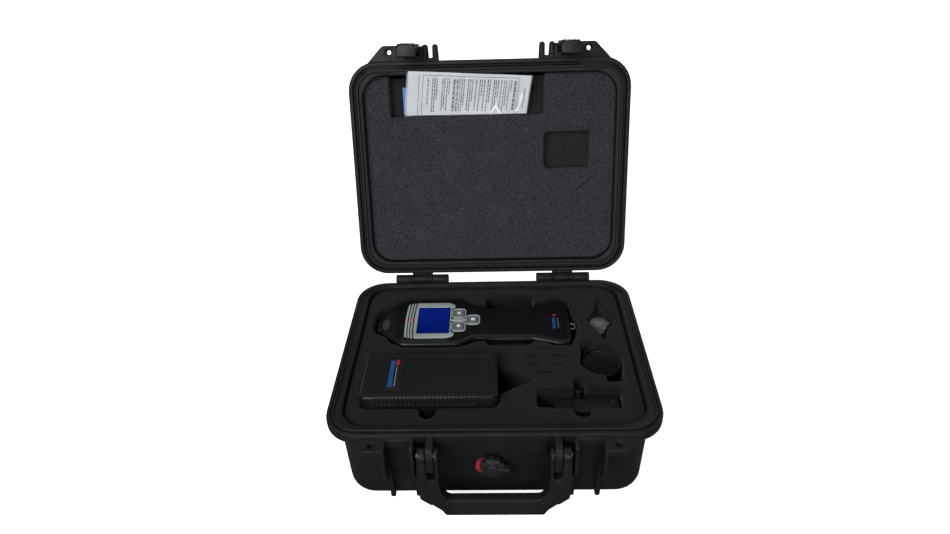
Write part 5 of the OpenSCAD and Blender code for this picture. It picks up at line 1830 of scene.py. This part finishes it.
def hose_adapter():
    """Two joined blocks with ribs, a nozzle towards +x and a turned post."""
    main = rounded([(83, -90), (131, -90), (131, -68.5), (97, -68.5), (95, -70.5),
                    (87, -70.5), (83, -70)], [2.5, 3, 3, 1.5, 1.5, 2, 1.5])
    return Part(
        solid(rect(63.5, 85, -89.5, -70, 3), 79, 91, 1.4),
        solid(main, 79, 94, 1.6, seg=4),
        *[block(66 + 4.4 * k, 68.2 + 4.4 * k, -87.5, -72, 90, 91.5, 1.0, 0.5)
          for k in range(4)],
        lathe([(3.9, 129), (6.2, 129), (6.4, 131.2), (6.0, 132), (4.6, 132), (4.0, 131.4),
               (4.0, 116), (0.3, 116)], "x", (-80, 86), 40),
        lathe([(5.2, 93), (5.2, 94.3), (4.8, 94.7), (3.8, 94.7), (3.4, 94.1), (3.3, 93.6)],
              "z", (122.5, -79.5), 26),
        lathe([(2.6, 83.0), (2.5, 90), (4.4, 90), (5, 89.4), (5, 78.6), (4.5, 78), (0.3, 78)],
              "z", (91, -53), 30),
        block(88, 94, -72, -50, 80, 86, 1.4, 0.9))


make("calibration_cap_body", calibration_cap(), [ACCESSORY, RIM_HIGHLIGHT], "calibration_cap",
     "calibration_cap", sharp=48)
make("belt_clip_fan", belt_clip(), CLIP, "belt_clip", "belt_clip", sharp=55)
make("hose_adapter_body", hose_adapter(), ADAPTER, "hose_adapter", "hose_adapter",
     sharp=48)


# ---------------------------------------------------------------- stage, light and camera
# From here on, lengths are in metres.
def floor_mat():
    """Near white to the camera and grey to all other rays, so it throws little light back."""
    s = Shader("floor_pale")
    to_camera = s.new("ShaderNodeLightPath").outputs["Is Camera Ray"]
    tone = s.mix(to_camera, (0.16, 0.16, 0.165), (0.93, 0.93, 0.93))
    tone = s.mix(s.remap(s.noise(3), span=MIDDLE, to=(0, 0.02)), tone, (0.8, 0.8, 0.8))
    return s.finish(Base_Color=tone, Roughness=0.9, Specular_IOR_Level=0.0,
                    Emission_Color=(1.0, 1.0, 1.0),
                    Emission_Strength=s.math("MULTIPLY", to_camera, 0.8))


def build_floor():
    z = -0.0003
    mesh = bpy.data.meshes.new("floor")
    mesh.from_pydata([(-9, -6, z), (9, -6, z), (9, 12, z), (-9, 12, z)], [], [(0, 1, 2, 3)])
    floor = bpy.data.objects.new("floor", mesh)
    bpy.context.scene.collection.objects.link(floor)
    mesh.materials.append(floor_mat())


def build_world():
    """A dim bluish sky for the light, plain white to the camera."""
    world = bpy.data.worlds.new("studio")
    bpy.context.scene.world = world
    world.use_nodes = True
    tree = world.node_tree
    tree.nodes.clear()
    output, path, sky, backdrop, mix = [tree.nodes.new("ShaderNode" + kind) for kind in (
        "OutputWorld", "LightPath", "Background", "Background", "MixShader")]
    for node, colour, strength in ((sky, (0.9, 0.94, 1.0, 1), 0.22),
                                   (backdrop, (1, 1, 1, 1), 1.0)):
        node.inputs[0].default_value, node.inputs[1].default_value = colour, strength
    tree.links.new(path.outputs["Is Camera Ray"], mix.inputs[0])
    tree.links.new(sky.outputs[0], mix.inputs[1])
    tree.links.new(backdrop.outputs[0], mix.inputs[2])
    tree.links.new(mix.outputs[0], output.inputs[0])


def area_light(name, place, target, size, power, colour=(0.97, 0.98, 1.0)):
    light = bpy.data.lights.new(name, "AREA")
    light.shape, light.size, light.size_y = "RECTANGLE", size[0], size[1]
    light.energy, light.color = power, colour
    ob = bpy.data.objects.new(name, light)
    bpy.context.scene.collection.objects.link(ob)
    ob.location = place
    aim = Vector(target) - Vector(place)
    ob.rotation_euler = aim.to_track_quat("-Z", "Y").to_euler()


def build_camera():
    data = bpy.data.cameras.new("camera")
    camera = bpy.data.objects.new("camera", data)
    bpy.context.scene.collection.objects.link(camera)
    data.sensor_fit, data.sensor_width = "HORIZONTAL", 36.0
    data.lens = 25.93945895
    data.clip_start, data.clip_end = 0.02, 60
    pitch, yaw, roll = 32.9328 * DEG, 2.06 * DEG, -2.03 * DEG
    cp, sp = math.cos(pitch), math.sin(pitch)
    cy, sy = math.cos(yaw), math.sin(yaw)
    cr, sr = math.cos(roll), math.sin(roll)
    # rows: the camera's right, down and forward
    view = (np.array([[cr, -sr, 0], [sr, cr, 0], [0, 0, 1]])
            @ np.array([[1, 0, 0], [0, cp, -sp], [0, sp, cp]])
            @ np.array([[cy, 0, sy], [0, 1, 0], [-sy, 0, cy]])
            @ np.array([[1, 0, 0], [0, 0, -1], [0, 1, 0]]))
    turn = Matrix([list(view[0]), list(-view[1]), list(-view[2])]).transposed()
    place = Matrix.Translation((0.004514, -0.600009, 0.602639))
    camera.matrix_world = place @ turn.to_4x4()
    bpy.context.scene.camera = camera


build_floor()
build_world()
area_light("key_soft", place=(-0.9, -1.5, 1.35), target=(0, 0.05, 0.12), size=(1.3, 1.0),
           power=36, colour=(1, 1, 1))
area_light("top_soft", place=(0.25, 0.55, 1.9), target=(0, 0.1, 0.1), size=(1.6, 1.0),
           power=5, colour=(0.96, 0.98, 1.0))
area_light("fill_front", place=(0.45, -2.0, 0.32), target=(0, 0, 0.12), size=(1.3, 0.8),
           power=16)
area_light("fill_back", place=(0.1, 2.7, 0.42), target=(0, 0.1, 0.18), size=(1.0, 0.6),
           power=24)
area_light("fill_right", place=(2.4, 0.7, 0.45), target=(0, 0, 0.1), size=(0.9, 0.7), power=8)
build_camera()
bpy.context.scene.view_settings.view_transform = "Standard"
